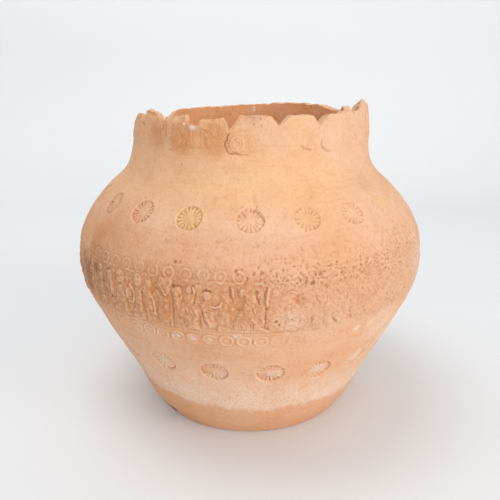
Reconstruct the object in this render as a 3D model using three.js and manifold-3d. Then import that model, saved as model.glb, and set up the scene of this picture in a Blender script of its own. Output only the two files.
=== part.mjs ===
// A large redware jar: one hollow vessel of fired clay with a moulded frieze of
// standing figures, two rows of bull's-eye roundels, two rows of stamped rosettes
// and a neck that broke off through a row of V-shaped cuts.
// Millimetres, +Z up, the origin at the centre of the underside, the front along -Y.
// An azimuth is in degrees round the jar, 0 at the front and growing towards +X.
import * as THREE from "three";
import { mergeVertices } from "three/addons/utils/BufferGeometryUtils.js";
import Module from "manifold-3d";

const wasm = await Module();
wasm.setup();

// Vessel
const RIM_HEIGHT = 262;
const BREAK_START = 240;
const SEGMENTS = 40;
const OUTER_WALL = [
  [3, 89.5],
  [16, 98],
  [37, 107.5],
  [66, 122],
  [97, 137.3],
  [126, 148.6],
  [146, 150],
  [165, 147],
  [183, 137.2],
  [199, 123.2],
  [212, 109.2],
  [222, 103.5],
  [233, 101.1],
  [246, 99.8],
  [RIM_HEIGHT, 98],
];
const OUTER_ROWS = [3, 20, 45, 67.5, 90, 142, 186.5, 203.5, 213, 224, BREAK_START, RIM_HEIGHT];
const BASE_RADIUS = 85;
const WALL_AT_RIM = 5.5;
const WALL_AT_BELLY = 7;
const INNER_ROWS = [BREAK_START, 222, 205, 182, 140, 90, 36];
const FLOOR_TOP = 8;
const FLOOR_RADIUS = 78;

// Raised border lines above and below the frieze
const BORDER_LINES = [118.7, 167];
const BORDER_RISE = 0.9;
const BORDER_HALF_WIDTH = 1.3;

// The height of the broken lip round the neck, [azimuth, height]
const BREAK_LINE = [
  [-180, 260],
  [-163, 258.5],
  [-149, 258],
  [-133, 256.8],
  [-124, 247],
  [-118, 245.5],
  [-100, 247.5],
  [-75, 253.5],
  [-66, 258],
  [-52, 263.5],
  [-38, 261],
  [-12, 259.5],
  [-4, 261.7],
  [44, 261.5],
  [52, 265.5],
  [63, 270],
  [72, 268],
  [88, 262.5],
  [104, 260.5],
  [112, 259.5],
  [120, 256.5],
  [132, 261],
  [155, 263],
  [180, 260],
];

// The V-shaped cuts that the break left, [azimuth, width, height of the point]
const NOTCHES = [
  [-57.6, 4.5, 252],
  [-40, 14, 248],
  [-24.3, 13, 254],
  [-8.3, 15, 250.5],
  [12, 14, 254.5],
  [30.4, 14, 254],
  [52.3, 10, 260],
];

// Stamped rosettes, with the azimuths of those that face the front
const ROSETTE_RADIUS = 10;
const ROSETTE_COUNT = 20;
const SHOULDER_ROSETTE = { height: 195, front: [-56, -38, -19.5, 0, 18.2, 35.6] };
const LOWER_ROSETTE = { height: 78, front: [-31.1, -12.1, 6.7, 24, 41.1] };
const PETALS = 8;
const PLAIN_PETALS = 6;
const PETAL_DEPTH = 2;
const RIB_DEPTH = 0.7;
const HUB_DEPTH = 1;

// Roundels above and below the figures, and three left on the neck. One side is worn bare.
const ROUNDEL_COUNT = 75;
const WORN_SIDE = { from: 30, to: 170 };
const ROUNDEL_RISE = 1.5;
const UPPER_ROUNDEL = { height: 161.5, radius: 3.9, start: 1.3 };
const LOWER_ROUNDEL = { height: 112.8, radius: 4.4, start: 2.9 };
const NECK_ROUNDEL = { height: 241, radius: 5, azimuths: [-7, 2, 14.5] };

// Frieze
const GROUND = 120;
const HEAD_HEIGHT = 31;
const SHOULDER_HEIGHT = 27.5;
const WAIST_HEIGHT = 17;
const HEM_HEIGHT = 1.5;
const HEAD_RISE = 2.1;
const ROBE_RISE = 1.4;
const BAR_RISE = 1.9;
const WORN_SHARE = 0.6;
const CARVED_DRAFT = 0.35;

// The figures that face the front, from left to right. A figure is a head and a robe,
// each left out where its size is 0, and bars for limbs, staffs, folds and sashes.
// In a figure x runs to the right of its own azimuth and y up from the ground line.
const FRONT_FIGURES = [
  { azimuth: -61, hem: 10 },
  { azimuth: -54, hem: 9, bars: [[2, 26, 6, 19]] },
  { azimuth: -48, hem: 8, lean: -1 },
  { azimuth: -43.3, hem: 5, lean: -1.5, bars: [[2, 24, 4, 18]] },
  { azimuth: -39, hem: 8, head: 4.4, bars: [[-1, 18, -4, 6], [1, 18, 4, 8]] },
  {
    azimuth: -34.5,
    hem: 0,
    head: 0,
    bars: [[-3, 24, -2.4, 14], [-2.4, 14, 2.6, 14], [2.6, 14, 1.2, 25], [1.6, 12, 0, 2]],
  },
  { azimuth: -31.6, hem: 5, head: 3.6 },
  { azimuth: -27.8, hem: 6, lean: -1, bars: [[-2, 28, 3, 20], [3.4, 19, 4, 6]] },
  {
    azimuth: -23.3,
    hem: 0,
    head: 0,
    bars: [[-3.6, 34, 2.4, 24], [4.4, 35, 3, 25], [-3.6, 35.5, 4.4, 35.5]],
  },
  { azimuth: -19.4, hem: 6, head: 3.3, lean: -0.5, bars: [[0, 19, 1.6, 13], [1.6, 13, 6, 2]] },
  { azimuth: -15.2, hem: 8, lean: 1.5, sweep: -1.5, bars: [[2, 30, 0.6, 21], [-3, 20, 2, 11]] },
  {
    azimuth: -11,
    hem: 0,
    head: 2.8,
    lean: -0.5,
    bars: [[-2.4, 25, 1, 20.6], [1, 20.6, 7.6, 21.5], [7.6, 21.5, 9, 25], [-3.4, 19, 1.4, 5]],
  },
  { azimuth: -4.6, hem: 0, head: 0, bars: [[-2, 34, 2.4, 22]] },
  {
    azimuth: -0.4,
    hem: 18,
    lean: -2.6,
    sweep: 1,
    bars: [[0, 21, 4, 9], [4, 9, 11, 2], [-1, 18, -3, 2], [0.5, 18, 4, 2]],
  },
  { azimuth: 5.6, hem: 6, lean: 1, bars: [[-2.4, 33, -2.8, 22]] },
  { azimuth: 11, hem: 7, lean: 0.5, bars: [[-4, 27, -1.5, 30.5], [-1.5, 30.5, 2.5, 29]] },
  { azimuth: 18, hem: 6, bars: [[-3, 28, 1.2, 21], [2.4, 28, 1.2, 21]] },
  { azimuth: 25.5, hem: 7, bars: [[-4.5, 13, -3, 3], [4.5, 13, 5, 4]] },
];
const HEAD_SIZE = 2.7;
const SHOULDER_WIDTH = 5.4;
const WAIST_WIDTH = 3.8;
const BAR_WIDTH = 1.7;

// The plainer figures of the rest of the round stand at even steps
const PLAIN_FIRST = 35;
const PLAIN_LAST = 289;
const PLAIN_COUNT = 14;
const PLAIN_HEM = 9;

// The part of the round that is seen from the front and a little past it
const FRONT_REACH = 70;

// How far an added piece is sunk into the wall, and how far a cutter stands out of it
const SUNK = 2;
const CUTTER_REACH = 80;

// Triangles flatter than this are merged away
const SLIVER = 0.04;

// Straight-line interpolation in a list of [place, value] pairs
function interpolate(pairs, place) {
  const next = Math.max(pairs.findIndex(([at]) => at >= place), 1);
  const [lowPlace, lowValue] = pairs[next - 1];
  const [highPlace, highValue] = pairs[next];
  return THREE.MathUtils.mapLinear(place, lowPlace, highPlace, lowValue, highValue);
}

// The slope of the outer wall at a station, from its neighbours
function stationSlope(index) {
  const before = OUTER_WALL[Math.max(index - 1, 0)];
  const after = OUTER_WALL[Math.min(index + 1, OUTER_WALL.length - 1)];
  return (after[1] - before[1]) / (after[0] - before[0]);
}

// A smooth curve through the stations of the outer wall: the radius at a height
function wallRadius(height) {
  let index = OUTER_WALL.findIndex(([stationHeight]) => stationHeight > height) - 1;
  if (index < 0) {
    index = height <= OUTER_WALL[0][0] ? 0 : OUTER_WALL.length - 2;
  }
  const [lowHeight, lowRadius] = OUTER_WALL[index];
  const [highHeight, highRadius] = OUTER_WALL[index + 1];
  const span = highHeight - lowHeight;
  const t = THREE.MathUtils.clamp((height - lowHeight) / span, 0, 1);
  const lowWeight = (1 + 2 * t) * (1 - t) ** 2;
  const lowPull = t * (1 - t) ** 2 * span * stationSlope(index);
  const highPull = t ** 2 * (t - 1) * span * stationSlope(index + 1);
  return lowWeight * lowRadius + (1 - lowWeight) * highRadius + lowPull + highPull;
}

// The rows of the faceted wall as [height, radius], with the two feet of each border line
const borderFeet = BORDER_LINES.flatMap((line) => [line - BORDER_HALF_WIDTH, line + BORDER_HALF_WIDTH]);
const WALL_FACETS = [...OUTER_ROWS, ...borderFeet]
  .sort((a, b) => a - b)
  .map((height) => [height, wallRadius(height)]);

function wallSlope(height) {
  const step = 0.5;
  return (wallRadius(height + step) - wallRadius(height - step)) / (2 * step);
}

// The radius of the faceted wall: straight between rows, and flat between two segments
function facetRadius(azimuth, height) {
  const turn = (2 * Math.PI) / SEGMENTS;
  const fromEdge = THREE.MathUtils.euclideanModulo(azimuth, turn);
  const flat = Math.cos(turn / 2) / Math.cos(fromEdge - turn / 2);
  return flat * interpolate(WALL_FACETS, height);
}

function wallPoint(azimuth, height) {
  const radius = facetRadius(azimuth, height);
  return new THREE.Vector3(radius * Math.sin(azimuth), -radius * Math.cos(azimuth), height);
}

function wallNormal(azimuth, height) {
  return new THREE.Vector3(Math.sin(azimuth), -Math.cos(azimuth), -wallSlope(height)).normalize();
}

// Bends a flat piece onto the wall: x runs round the jar, y up the wall, and z stands out
// along the normal at the middle of the piece
function wrapOnWall(geometry, azimuth, height) {
  const position = geometry.getAttribute("position");
  const length = Math.hypot(1, wallSlope(height));
  const middle = THREE.MathUtils.degToRad(azimuth);
  const normal = wallNormal(middle, height);
  for (let i = 0; i < position.count; i += 1) {
    const z = height + position.getY(i) / length;
    const turn = middle + position.getX(i) / wallRadius(z);
    const point = wallPoint(turn, z).addScaledVector(normal, position.getZ(i));
    position.setXYZ(i, point.x, point.y, point.z);
  }
  return geometry;
}

function solidOf(geometry) {
  const bare = geometry.clone();
  bare.deleteAttribute("normal");
  bare.deleteAttribute("uv");
  const merged = mergeVertices(bare, 1e-4);
  return new wasm.Manifold(
    new wasm.Mesh({
      numProp: 3,
      vertProperties: merged.getAttribute("position").array,
      triVerts: new Uint32Array(merged.index.array),
    }),
  );
}

function joined(solids) {
  return solids.reduce((sum, solid) => sum.add(solid));
}

function geometryOf(solid) {
  const mesh = solid.getMesh();
  const geometry = new THREE.BufferGeometry();
  geometry.setAttribute("position", new THREE.BufferAttribute(mesh.vertProperties, 3));
  geometry.setIndex(new THREE.BufferAttribute(mesh.triVerts, 1));
  geometry.computeVertexNormals();
  return geometry;
}

// The outer wall from the foot to the lip, with the two border lines
function outerProfile() {
  const points = WALL_FACETS.map(([height, radius]) => new THREE.Vector2(radius, height));
  const crests = BORDER_LINES.map((line) => new THREE.Vector2(wallRadius(line) + BORDER_RISE, line));
  return [...points, ...crests].sort((a, b) => a.y - b.y);
}

function innerProfile() {
  return INNER_ROWS.map((height) => {
    const thickness = height >= BREAK_START ? WALL_AT_RIM : WALL_AT_BELLY;
    return new THREE.Vector2(wallRadius(height) - thickness, height);
  });
}

// Raises and lowers the lip to the line of the break
function breakLip(geometry) {
  const position = geometry.getAttribute("position");
  for (let i = 0; i < position.count; i += 1) {
    const height = position.getZ(i);
    if (height > BREAK_START) {
      const azimuth = THREE.MathUtils.radToDeg(Math.atan2(position.getX(i), -position.getY(i)));
      const share = (height - BREAK_START) / (RIM_HEIGHT - BREAK_START);
      position.setZ(i, BREAK_START + share * (interpolate(BREAK_LINE, azimuth) - BREAK_START));
    }
  }
  return geometry;
}

function vessel() {
  const profile = [
    new THREE.Vector2(0, 0),
    new THREE.Vector2(BASE_RADIUS, 0),
    ...outerProfile(),
    new THREE.Vector2(wallRadius(RIM_HEIGHT) - WALL_AT_RIM, RIM_HEIGHT),
    ...innerProfile(),
    new THREE.Vector2(FLOOR_RADIUS, FLOOR_TOP),
    new THREE.Vector2(0, FLOOR_TOP),
  ];
  const geometry = new THREE.LatheGeometry(profile, SEGMENTS);
  geometry.rotateX(Math.PI / 2);
  return solidOf(breakLip(geometry));
}

// A wedge that cuts one V through the neck wall
function notchCutter(azimuth, width, pointHeight) {
  const above = 20;
  const depth = RIM_HEIGHT - pointHeight;
  const spread = (width / 2) * ((depth + above) / depth);
  const outline = new THREE.Shape([
    new THREE.Vector2(0, 0),
    new THREE.Vector2(spread, depth + above),
    new THREE.Vector2(-spread, depth + above),
  ]);
  const reach = 30;
  const geometry = new THREE.ExtrudeGeometry(outline, { depth: reach, bevelEnabled: false });
  geometry.rotateX(Math.PI / 2);
  geometry.translate(0, -wallRadius(RIM_HEIGHT) + reach / 2, pointHeight);
  geometry.rotateZ(THREE.MathUtils.degToRad(azimuth));
  return solidOf(geometry);
}

// A stamped rosette: petals are sunk grooves that fall away from the hub to the edge.
// The cutter is a tall cone that stands on them, so the rim of the stamp is almost upright.
function rosetteCutter(azimuth, height) {
  const petals = Math.abs(azimuth) < FRONT_REACH ? PETALS : PLAIN_PETALS;
  const geometry = new THREE.ConeGeometry(ROSETTE_RADIUS, 1, 2 * petals);
  geometry.rotateX(Math.PI / 2);
  const position = geometry.getAttribute("position");
  for (let i = 0; i < position.count; i += 1) {
    const x = position.getX(i);
    const y = position.getY(i);
    const step = Math.round((Math.atan2(y, x) / Math.PI) * petals);
    let z = CUTTER_REACH;
    if (position.getZ(i) < 0) {
      z = step % 2 === 0 ? -PETAL_DEPTH : -RIB_DEPTH;
      if (Math.hypot(x, y) < ROSETTE_RADIUS / 2) {
        z = -HUB_DEPTH;
      }
    }
    position.setZ(i, z);
  }
  return solidOf(wrapOnWall(geometry, azimuth, height));
}

// A low boss with sloping sides: a prism of the outline whose top is drawn in
function reliefPiece(outline, rise, draft) {
  const geometry = new THREE.ExtrudeGeometry(new THREE.Shape(outline), {
    depth: SUNK + rise,
    bevelEnabled: false,
  });
  geometry.translate(0, 0, -SUNK);
  const middle = outline.reduce((sum, point) => sum.add(point), new THREE.Vector2());
  middle.divideScalar(outline.length);
  const position = geometry.getAttribute("position");
  for (let i = 0; i < position.count; i += 1) {
    if (position.getZ(i) > 0) {
      position.setX(i, THREE.MathUtils.lerp(position.getX(i), middle.x, draft));
      position.setY(i, THREE.MathUtils.lerp(position.getY(i), middle.y, draft));
    }
  }
  return geometry;
}

// A roundel is a shallow six-sided dome, four-sided away from the front
function roundel(azimuth, height, radius) {
  const sides = Math.abs(azimuth) < FRONT_REACH ? 6 : 4;
  const geometry = new THREE.ConeGeometry(radius, SUNK + ROUNDEL_RISE, sides);
  geometry.rotateX(Math.PI / 2);
  const widened = (SUNK + ROUNDEL_RISE) / ROUNDEL_RISE;
  geometry.scale(widened, widened, 1);
  geometry.translate(0, 0, (ROUNDEL_RISE - SUNK) / 2);
  return solidOf(wrapOnWall(geometry, azimuth, height));
}

// Azimuths of a full row, from -180 to 180, one of them at the start angle
function rowAzimuths(count, start) {
  return Array.from({ length: count }, (_, index) => {
    const azimuth = start + (index * 360) / count;
    return azimuth > 180 ? azimuth - 360 : azimuth;
  });
}

// The outline of a limb, a staff or a fold: a bar that tapers from one end to the other
function bar(fromX, fromY, toX, toY, fromWidth, toWidth) {
  const from = new THREE.Vector2(fromX, fromY);
  const to = new THREE.Vector2(toX, toY);
  const along = to.clone().sub(from).normalize();
  const side = new THREE.Vector2(-along.y, along.x);
  return [
    from.clone().addScaledVector(side, -fromWidth / 2),
    to.clone().addScaledVector(side, -toWidth / 2),
    to.clone().addScaledVector(side, toWidth / 2),
    from.clone().addScaledVector(side, fromWidth / 2),
  ];
}

// The outline of a robed body: shoulders, a waist and a hem that may sweep to one side
function robe(lean, sweep, hem) {
  return [
    new THREE.Vector2(sweep - hem / 2, HEM_HEIGHT),
    new THREE.Vector2(sweep + hem / 2, HEM_HEIGHT),
    new THREE.Vector2(WAIST_WIDTH / 2, WAIST_HEIGHT),
    new THREE.Vector2(lean + SHOULDER_WIDTH / 2, SHOULDER_HEIGHT),
    new THREE.Vector2(lean - SHOULDER_WIDTH / 2, SHOULDER_HEIGHT),
    new THREE.Vector2(-WAIST_WIDTH / 2, WAIST_HEIGHT),
  ];
}

function oval(x, y, halfWidth, halfHeight) {
  const sides = 6;
  return Array.from({ length: sides }, (_, index) => {
    const turn = (2 * Math.PI * (index + 0.5)) / sides;
    return new THREE.Vector2(x + halfWidth * Math.cos(turn), y + halfHeight * Math.sin(turn));
  });
}

// One figure of the frieze as a list of solids, lower where it is worn
function figure({ azimuth, head = HEAD_SIZE, hem, lean = 0, sweep = 0, bars = [], wear = 1 }) {
  const pieces = [];
  if (head > 0) {
    pieces.push([oval(lean, HEAD_HEIGHT, head, head * 1.15), HEAD_RISE]);
  }
  if (hem > 0) {
    pieces.push([robe(lean, sweep, hem), ROBE_RISE]);
  }
  for (const [fromX, fromY, toX, toY] of bars) {
    pieces.push([bar(fromX, fromY, toX, toY, BAR_WIDTH, BAR_WIDTH), BAR_RISE]);
  }
  return pieces.map(([outline, rise]) =>
    solidOf(wrapOnWall(reliefPiece(outline, rise * wear, CARVED_DRAFT), azimuth, GROUND)),
  );
}

function frieze() {
  const figures = [...FRONT_FIGURES];
  for (let index = 0; index < PLAIN_COUNT; index += 1) {
    const place = THREE.MathUtils.lerp(PLAIN_FIRST, PLAIN_LAST, index / (PLAIN_COUNT - 1));
    const lean = index % 2 === 0 ? 1 : -1;
    figures.push({ azimuth: place, hem: PLAIN_HEM + (index % 3), lean, wear: WORN_SHARE });
  }
  return figures.flatMap(figure);
}

function roundels() {
  const row = ({ height, radius, start }) =>
    rowAzimuths(ROUNDEL_COUNT, start)
      .filter((azimuth) => azimuth < WORN_SIDE.from || azimuth > WORN_SIDE.to)
      .map((azimuth) => roundel(azimuth, height, radius));
  const neck = NECK_ROUNDEL.azimuths.map((azimuth) =>
    roundel(azimuth, NECK_ROUNDEL.height, NECK_ROUNDEL.radius),
  );
  return [...row(UPPER_ROUNDEL), ...row(LOWER_ROUNDEL), ...neck];
}

// Azimuths of a row of rosettes: the measured ones, then even steps round to the first
function rosetteAzimuths(front) {
  const last = front[front.length - 1];
  const rest = ROSETTE_COUNT - front.length;
  const step = (front[0] + 360 - last) / (rest + 1);
  const others = Array.from({ length: rest }, (_, index) => last + step * (index + 1));
  return [...front, ...others];
}

function rosettes() {
  const row = ({ height, front }) => rosetteAzimuths(front).map((azimuth) => rosetteCutter(azimuth, height));
  return [...row(SHOULDER_ROSETTE), ...row(LOWER_ROSETTE)];
}

function notches() {
  return NOTCHES.map(([azimuth, width, pointHeight]) => notchCutter(azimuth, width, pointHeight));
}

function jarMesh() {
  const solid = vessel()
    .add(joined([...frieze(), ...roundels()]))
    .subtract(joined([...rosettes(), ...notches()]))
    .simplify(SLIVER);
  const clay = new THREE.MeshStandardMaterial({ color: 0xc98a5e, roughness: 0.9, metalness: 0 });
  const mesh = new THREE.Mesh(geometryOf(solid), clay);
  mesh.name = "jar";
  return mesh;
}

const object = new THREE.Group();
object.add(jarMesh());

export default object;
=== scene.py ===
# A large redware jar: one thrown vessel with a moulded frieze of standing figures,
# roundels, stamped rosettes and a neck that broke off through a row of V-shaped cuts.
# Sizes of the jar are in millimetres and azimuths in degrees, 0 at the front (-Y) and
# growing towards +X. Everything that Blender places is in metres.
import math

import bpy
import numpy as np
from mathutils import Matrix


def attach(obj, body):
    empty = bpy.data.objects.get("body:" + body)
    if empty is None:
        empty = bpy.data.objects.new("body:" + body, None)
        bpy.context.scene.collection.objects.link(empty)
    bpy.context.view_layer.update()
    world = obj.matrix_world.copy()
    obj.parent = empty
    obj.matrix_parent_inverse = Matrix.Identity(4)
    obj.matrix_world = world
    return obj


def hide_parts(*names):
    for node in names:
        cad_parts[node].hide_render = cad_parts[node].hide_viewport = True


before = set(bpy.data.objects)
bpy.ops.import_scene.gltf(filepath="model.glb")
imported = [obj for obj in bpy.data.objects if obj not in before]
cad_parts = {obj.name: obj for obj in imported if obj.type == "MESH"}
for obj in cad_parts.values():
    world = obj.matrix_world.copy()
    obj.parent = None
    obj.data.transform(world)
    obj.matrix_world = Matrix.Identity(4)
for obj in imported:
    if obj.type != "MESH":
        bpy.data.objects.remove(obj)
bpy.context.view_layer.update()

MM = 0.001

# The outer wall as [height, radius] stations from the foot to the lip
OUTER_WALL = np.array([
    [3, 89.5], [16, 98], [37, 107.5], [66, 122], [97, 137.3], [126, 148.6], [146, 150], [165, 147],
    [183, 137.2], [199, 123.2], [212, 109.2], [222, 103.5], [233, 101.1], [246, 99.8], [262, 98],
])
FOOT_ROUNDING = 3.0
BELLY_RADIUS = 150.0
BREAK_START = 234.0
RIM_HEIGHT = 262.0
WALL_AT_RIM = 5.5
WALL_AT_BELLY = 7.0
FLOOR_TOP = 8.0
FLOOR_RADIUS = 78.0

# The underside, a little hollow, with the rounded edge of the foot, and the floor, [radius, height]
BASE_RINGS = [
    [4, 1.2], [16, 1.2], [30, 1.1], [44, 1.0], [56, 0.8], [66, 0.5], [74, 0.2], [80, 0.05],
    [83.5, 0], [85, 0], [86.6, 0.35], [88, 1.0], [89, 1.9],
]
FLOOR_RINGS = [[72, 7.7], [62, 7.4], [50, 7.2], [38, 7.6], [26, 7.1], [14, 7.0], [5, 7.4]]

# The broken lip round the neck, [azimuth, height]
BREAK_LINE = np.array([
    [-180, 260], [-163, 258.5], [-149, 258], [-133, 256.8], [-129, 254], [-124, 247], [-118, 245.5],
    [-100, 247.5], [-85, 250], [-75, 253], [-70, 257], [-66.5, 259.8], [-64, 261.4], [-61, 261],
    [-58, 262], [-54, 263.8], [-51, 262.8], [-46, 262.2],
    [-39, 260], [-30, 261], [-28.5, 261.8], [-28.1, 256.4], [-25.6, 254.7], [-22.3, 254.5], [-21.6, 255.6],
    [-21.3, 259.4], [-12, 260], [-4, 262], [9, 262], [17, 262.2], [27, 261.8],
    [36, 262], [43, 262], [48, 263.6], [53, 265.6], [55, 262.5], [57, 266.5],
    [59.6, 271.8], [62, 271.2], [65, 269.2], [70, 267.4], [75, 263.5], [80, 259.6], [90, 257.6], [104, 257.6],
    [110.5, 256.5], [113.5, 262], [117, 256.8], [120, 256.5], [132, 260.6], [155, 262.6], [180, 260],
])

# How much lower the inner edge of the break is than its outer edge, [azimuth, drop]
BREAK_SLANT = [
    [-70, 0], [-66, 2], [-60, 2], [-56, 0], [52, 0], [56, 4], [59.5, 7], [62, 6.5], [68, 4], [76, 0],
]

# The neck leans a little to the right
NECK_LEAN = 1.6

# The V-shaped cuts in the lip: azimuth of the point, reach to the left and right, height of the point
NOTCHES = [
    (-57.4, 3.6, 2.4, 251.5),
    (-40.5, 5.0, 0.9, 248.6),
    (-8.7, 3.6, 4.4, 252.6),
    (12.0, 3.4, 5.0, 254.8),
    (30.1, 3.2, 5.2, 254.6),
    (51.8, 2.6, 3.0, 260.6),
]

# Rows of stamped rosettes and of roundels
ROSETTE_RADIUS = 10.0
ROSETTE_COUNT = 20
PETALS = 16
SHOULDER_ROSETTES = 195.0
SHOULDER_FRONT = [-56.0, -38.0, -19.5, 0.0, 18.2, 35.6]
LOWER_ROSETTES = 78.0
LOWER_ROSETTE_RADIUS = 11.0
# The lower row sinks a little to the right, [azimuth, drop]
LOWER_ROW_DROP = [[-60, 0], [-35, -2], [-12, 0], [7, 0.4], [24, 3.6], [60, 3.6], [100, 0]]
LOWER_FRONT = [-31.1, -12.1, 6.7, 24.0, 41.1]
# How deep single stamps were pressed, by azimuth
STAMP_DEPTHS = {-56.0: 2.4, -38.0: 1.7, -19.5: 1.4, 0.0: 1.1, 18.2: 1.1, 35.6: 1.3, 24.0: 1.5, 41.1: 1.4}
ROUNDEL_COUNT = 75
UPPER_ROUNDELS = {"height": 161.3, "radius": 4.8, "start": 1.9}
LOWER_ROUNDELS = {"height": 112.3, "radius": 5.6, "start": 2.9}

# The frieze stands between two border lines on this ground line
GROUND = 120.0
BORDER_LINES = [118.7, 167.0]
HEAD_LINE = 157.2

# Bands of heights: the lumpy ground of the figures, the eroded clay over them, all the moulded clay,
# and the lower row of stamps
FIGURE_BAND = (119.5, 157)
ERODED_BAND = (148, 182)
CARVED_BAND = (106, 173)
STAMPED_BAND = (64, 92)

# How far the figures stand out, as a share of the rises given for them
RELIEF_SHARE = 0.75
# Rounded forms stand a little lower than flat ones, and lines spread beyond their given width
ROUNDED_SHARE = 0.85
LINE_SPREAD = 1.3

# How worn the relief is round the jar, [azimuth, share of the relief that is left]
WEAR = np.array([
    [-180, 0.75], [-100, 0.75], [-62, 0.5], [-52, 0.6], [-45, 0.85], [-38, 0.95], [-6, 1.0], [6, 0.8],
    [14, 0.55], [30, 0.45], [60, 0.3], [110, 0.25], [150, 0.5], [180, 0.75],
])


def smooth_step(edge, value):
    t = np.clip(value / edge, 0, 1)
    return t * t * (3 - 2 * t)


def wall_radius(height):
    """The radius of the smooth outer wall at a height, by a curve through the stations."""
    heights, radii = OUTER_WALL.T
    before = np.maximum(np.arange(len(heights)) - 1, 0)
    after = np.minimum(np.arange(len(heights)) + 1, len(heights) - 1)
    slopes = (radii[after] - radii[before]) / (heights[after] - heights[before])
    index = np.clip(np.searchsorted(heights, height, side="right") - 1, 0, len(heights) - 2)
    span = heights[index + 1] - heights[index]
    t = np.clip((height - heights[index]) / span, 0, 1)
    low = (1 + 2 * t) * (1 - t) ** 2
    pull = t * (1 - t) ** 2 * span * slopes[index] + t**2 * (t - 1) * span * slopes[index + 1]
    return low * radii[index] + (1 - low) * radii[index + 1] + pull


def wall_slope(height):
    step = 0.5
    return (wall_radius(height + step) - wall_radius(height - step)) / (2 * step)


def rows_between(bands):
    """Heights from the foot to the lip, closer together where there is carving."""
    parts = [np.arange(low, high, step) for low, high, step in bands]
    return np.concatenate(parts + [[bands[-1][1]]])


def columns_round(fine_from, fine_to, fine_step, coarse_step):
    """Azimuths once round the jar, closer together on the side that faces the front."""
    fine = np.arange(fine_from, fine_to, fine_step)
    left = np.arange(-180, fine_from, coarse_step)
    right = np.arange(fine_to, 180, coarse_step)
    return np.concatenate([left, fine, right])


ROWS = rows_between([
    (FOOT_ROUNDING, 60, 1.5), (60, 92, 0.55), (92, 104, 1.3), (104, 168.5, 0.42), (168.5, 185, 1.0),
    (185, 204.5, 0.45), (204.5, 232, 1.0), (232, RIM_HEIGHT, 0.5),
])
COLUMNS = columns_round(-72, 60, 0.17, 0.5)
ARC = np.concatenate([[0], np.cumsum(np.hypot(1, wall_slope((ROWS[1:] + ROWS[:-1]) / 2)) * np.diff(ROWS))])


def arc_at(height):
    """The distance along the outer wall from the foot to a height."""
    return np.interp(height, ROWS, ARC)


def wrap_degrees(turn):
    return (turn + 180) % 360 - 180


def rows_within(band, low_edge, high_edge):
    """1 on the rows inside a band of heights, fading to 0 over its lower and upper edge."""
    low, high = band
    return (smooth_step(low_edge, ROWS - low) * smooth_step(high_edge, high - ROWS))[:, None]


def lattice_noise(cell, seed, rows=None, columns=None):
    """Smooth noise from -1 to 1 over the wall, with cells of one size, seamless round the jar."""
    rows = ARC if rows is None else rows
    columns = COLUMNS if columns is None else columns
    rng = np.random.default_rng(seed)
    around = max(3, round(2 * math.pi * BELLY_RADIUS / cell))
    up = int(rows.max() / cell) + 3
    values = rng.uniform(-1, 1, (up, around))

    def blend(position):
        low = np.floor(position).astype(int)
        return low, smooth_step(1, position - low)

    low_row, row_share = blend(rows / cell)
    strips = values[low_row] * (1 - row_share)[:, None] + values[low_row + 1] * row_share[:, None]
    low_column, column_share = blend((columns + 180) / 360 * around)
    left = strips[:, low_column % around]
    right = strips[:, (low_column + 1) % around]
    return left * (1 - column_share) + right * column_share


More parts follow.
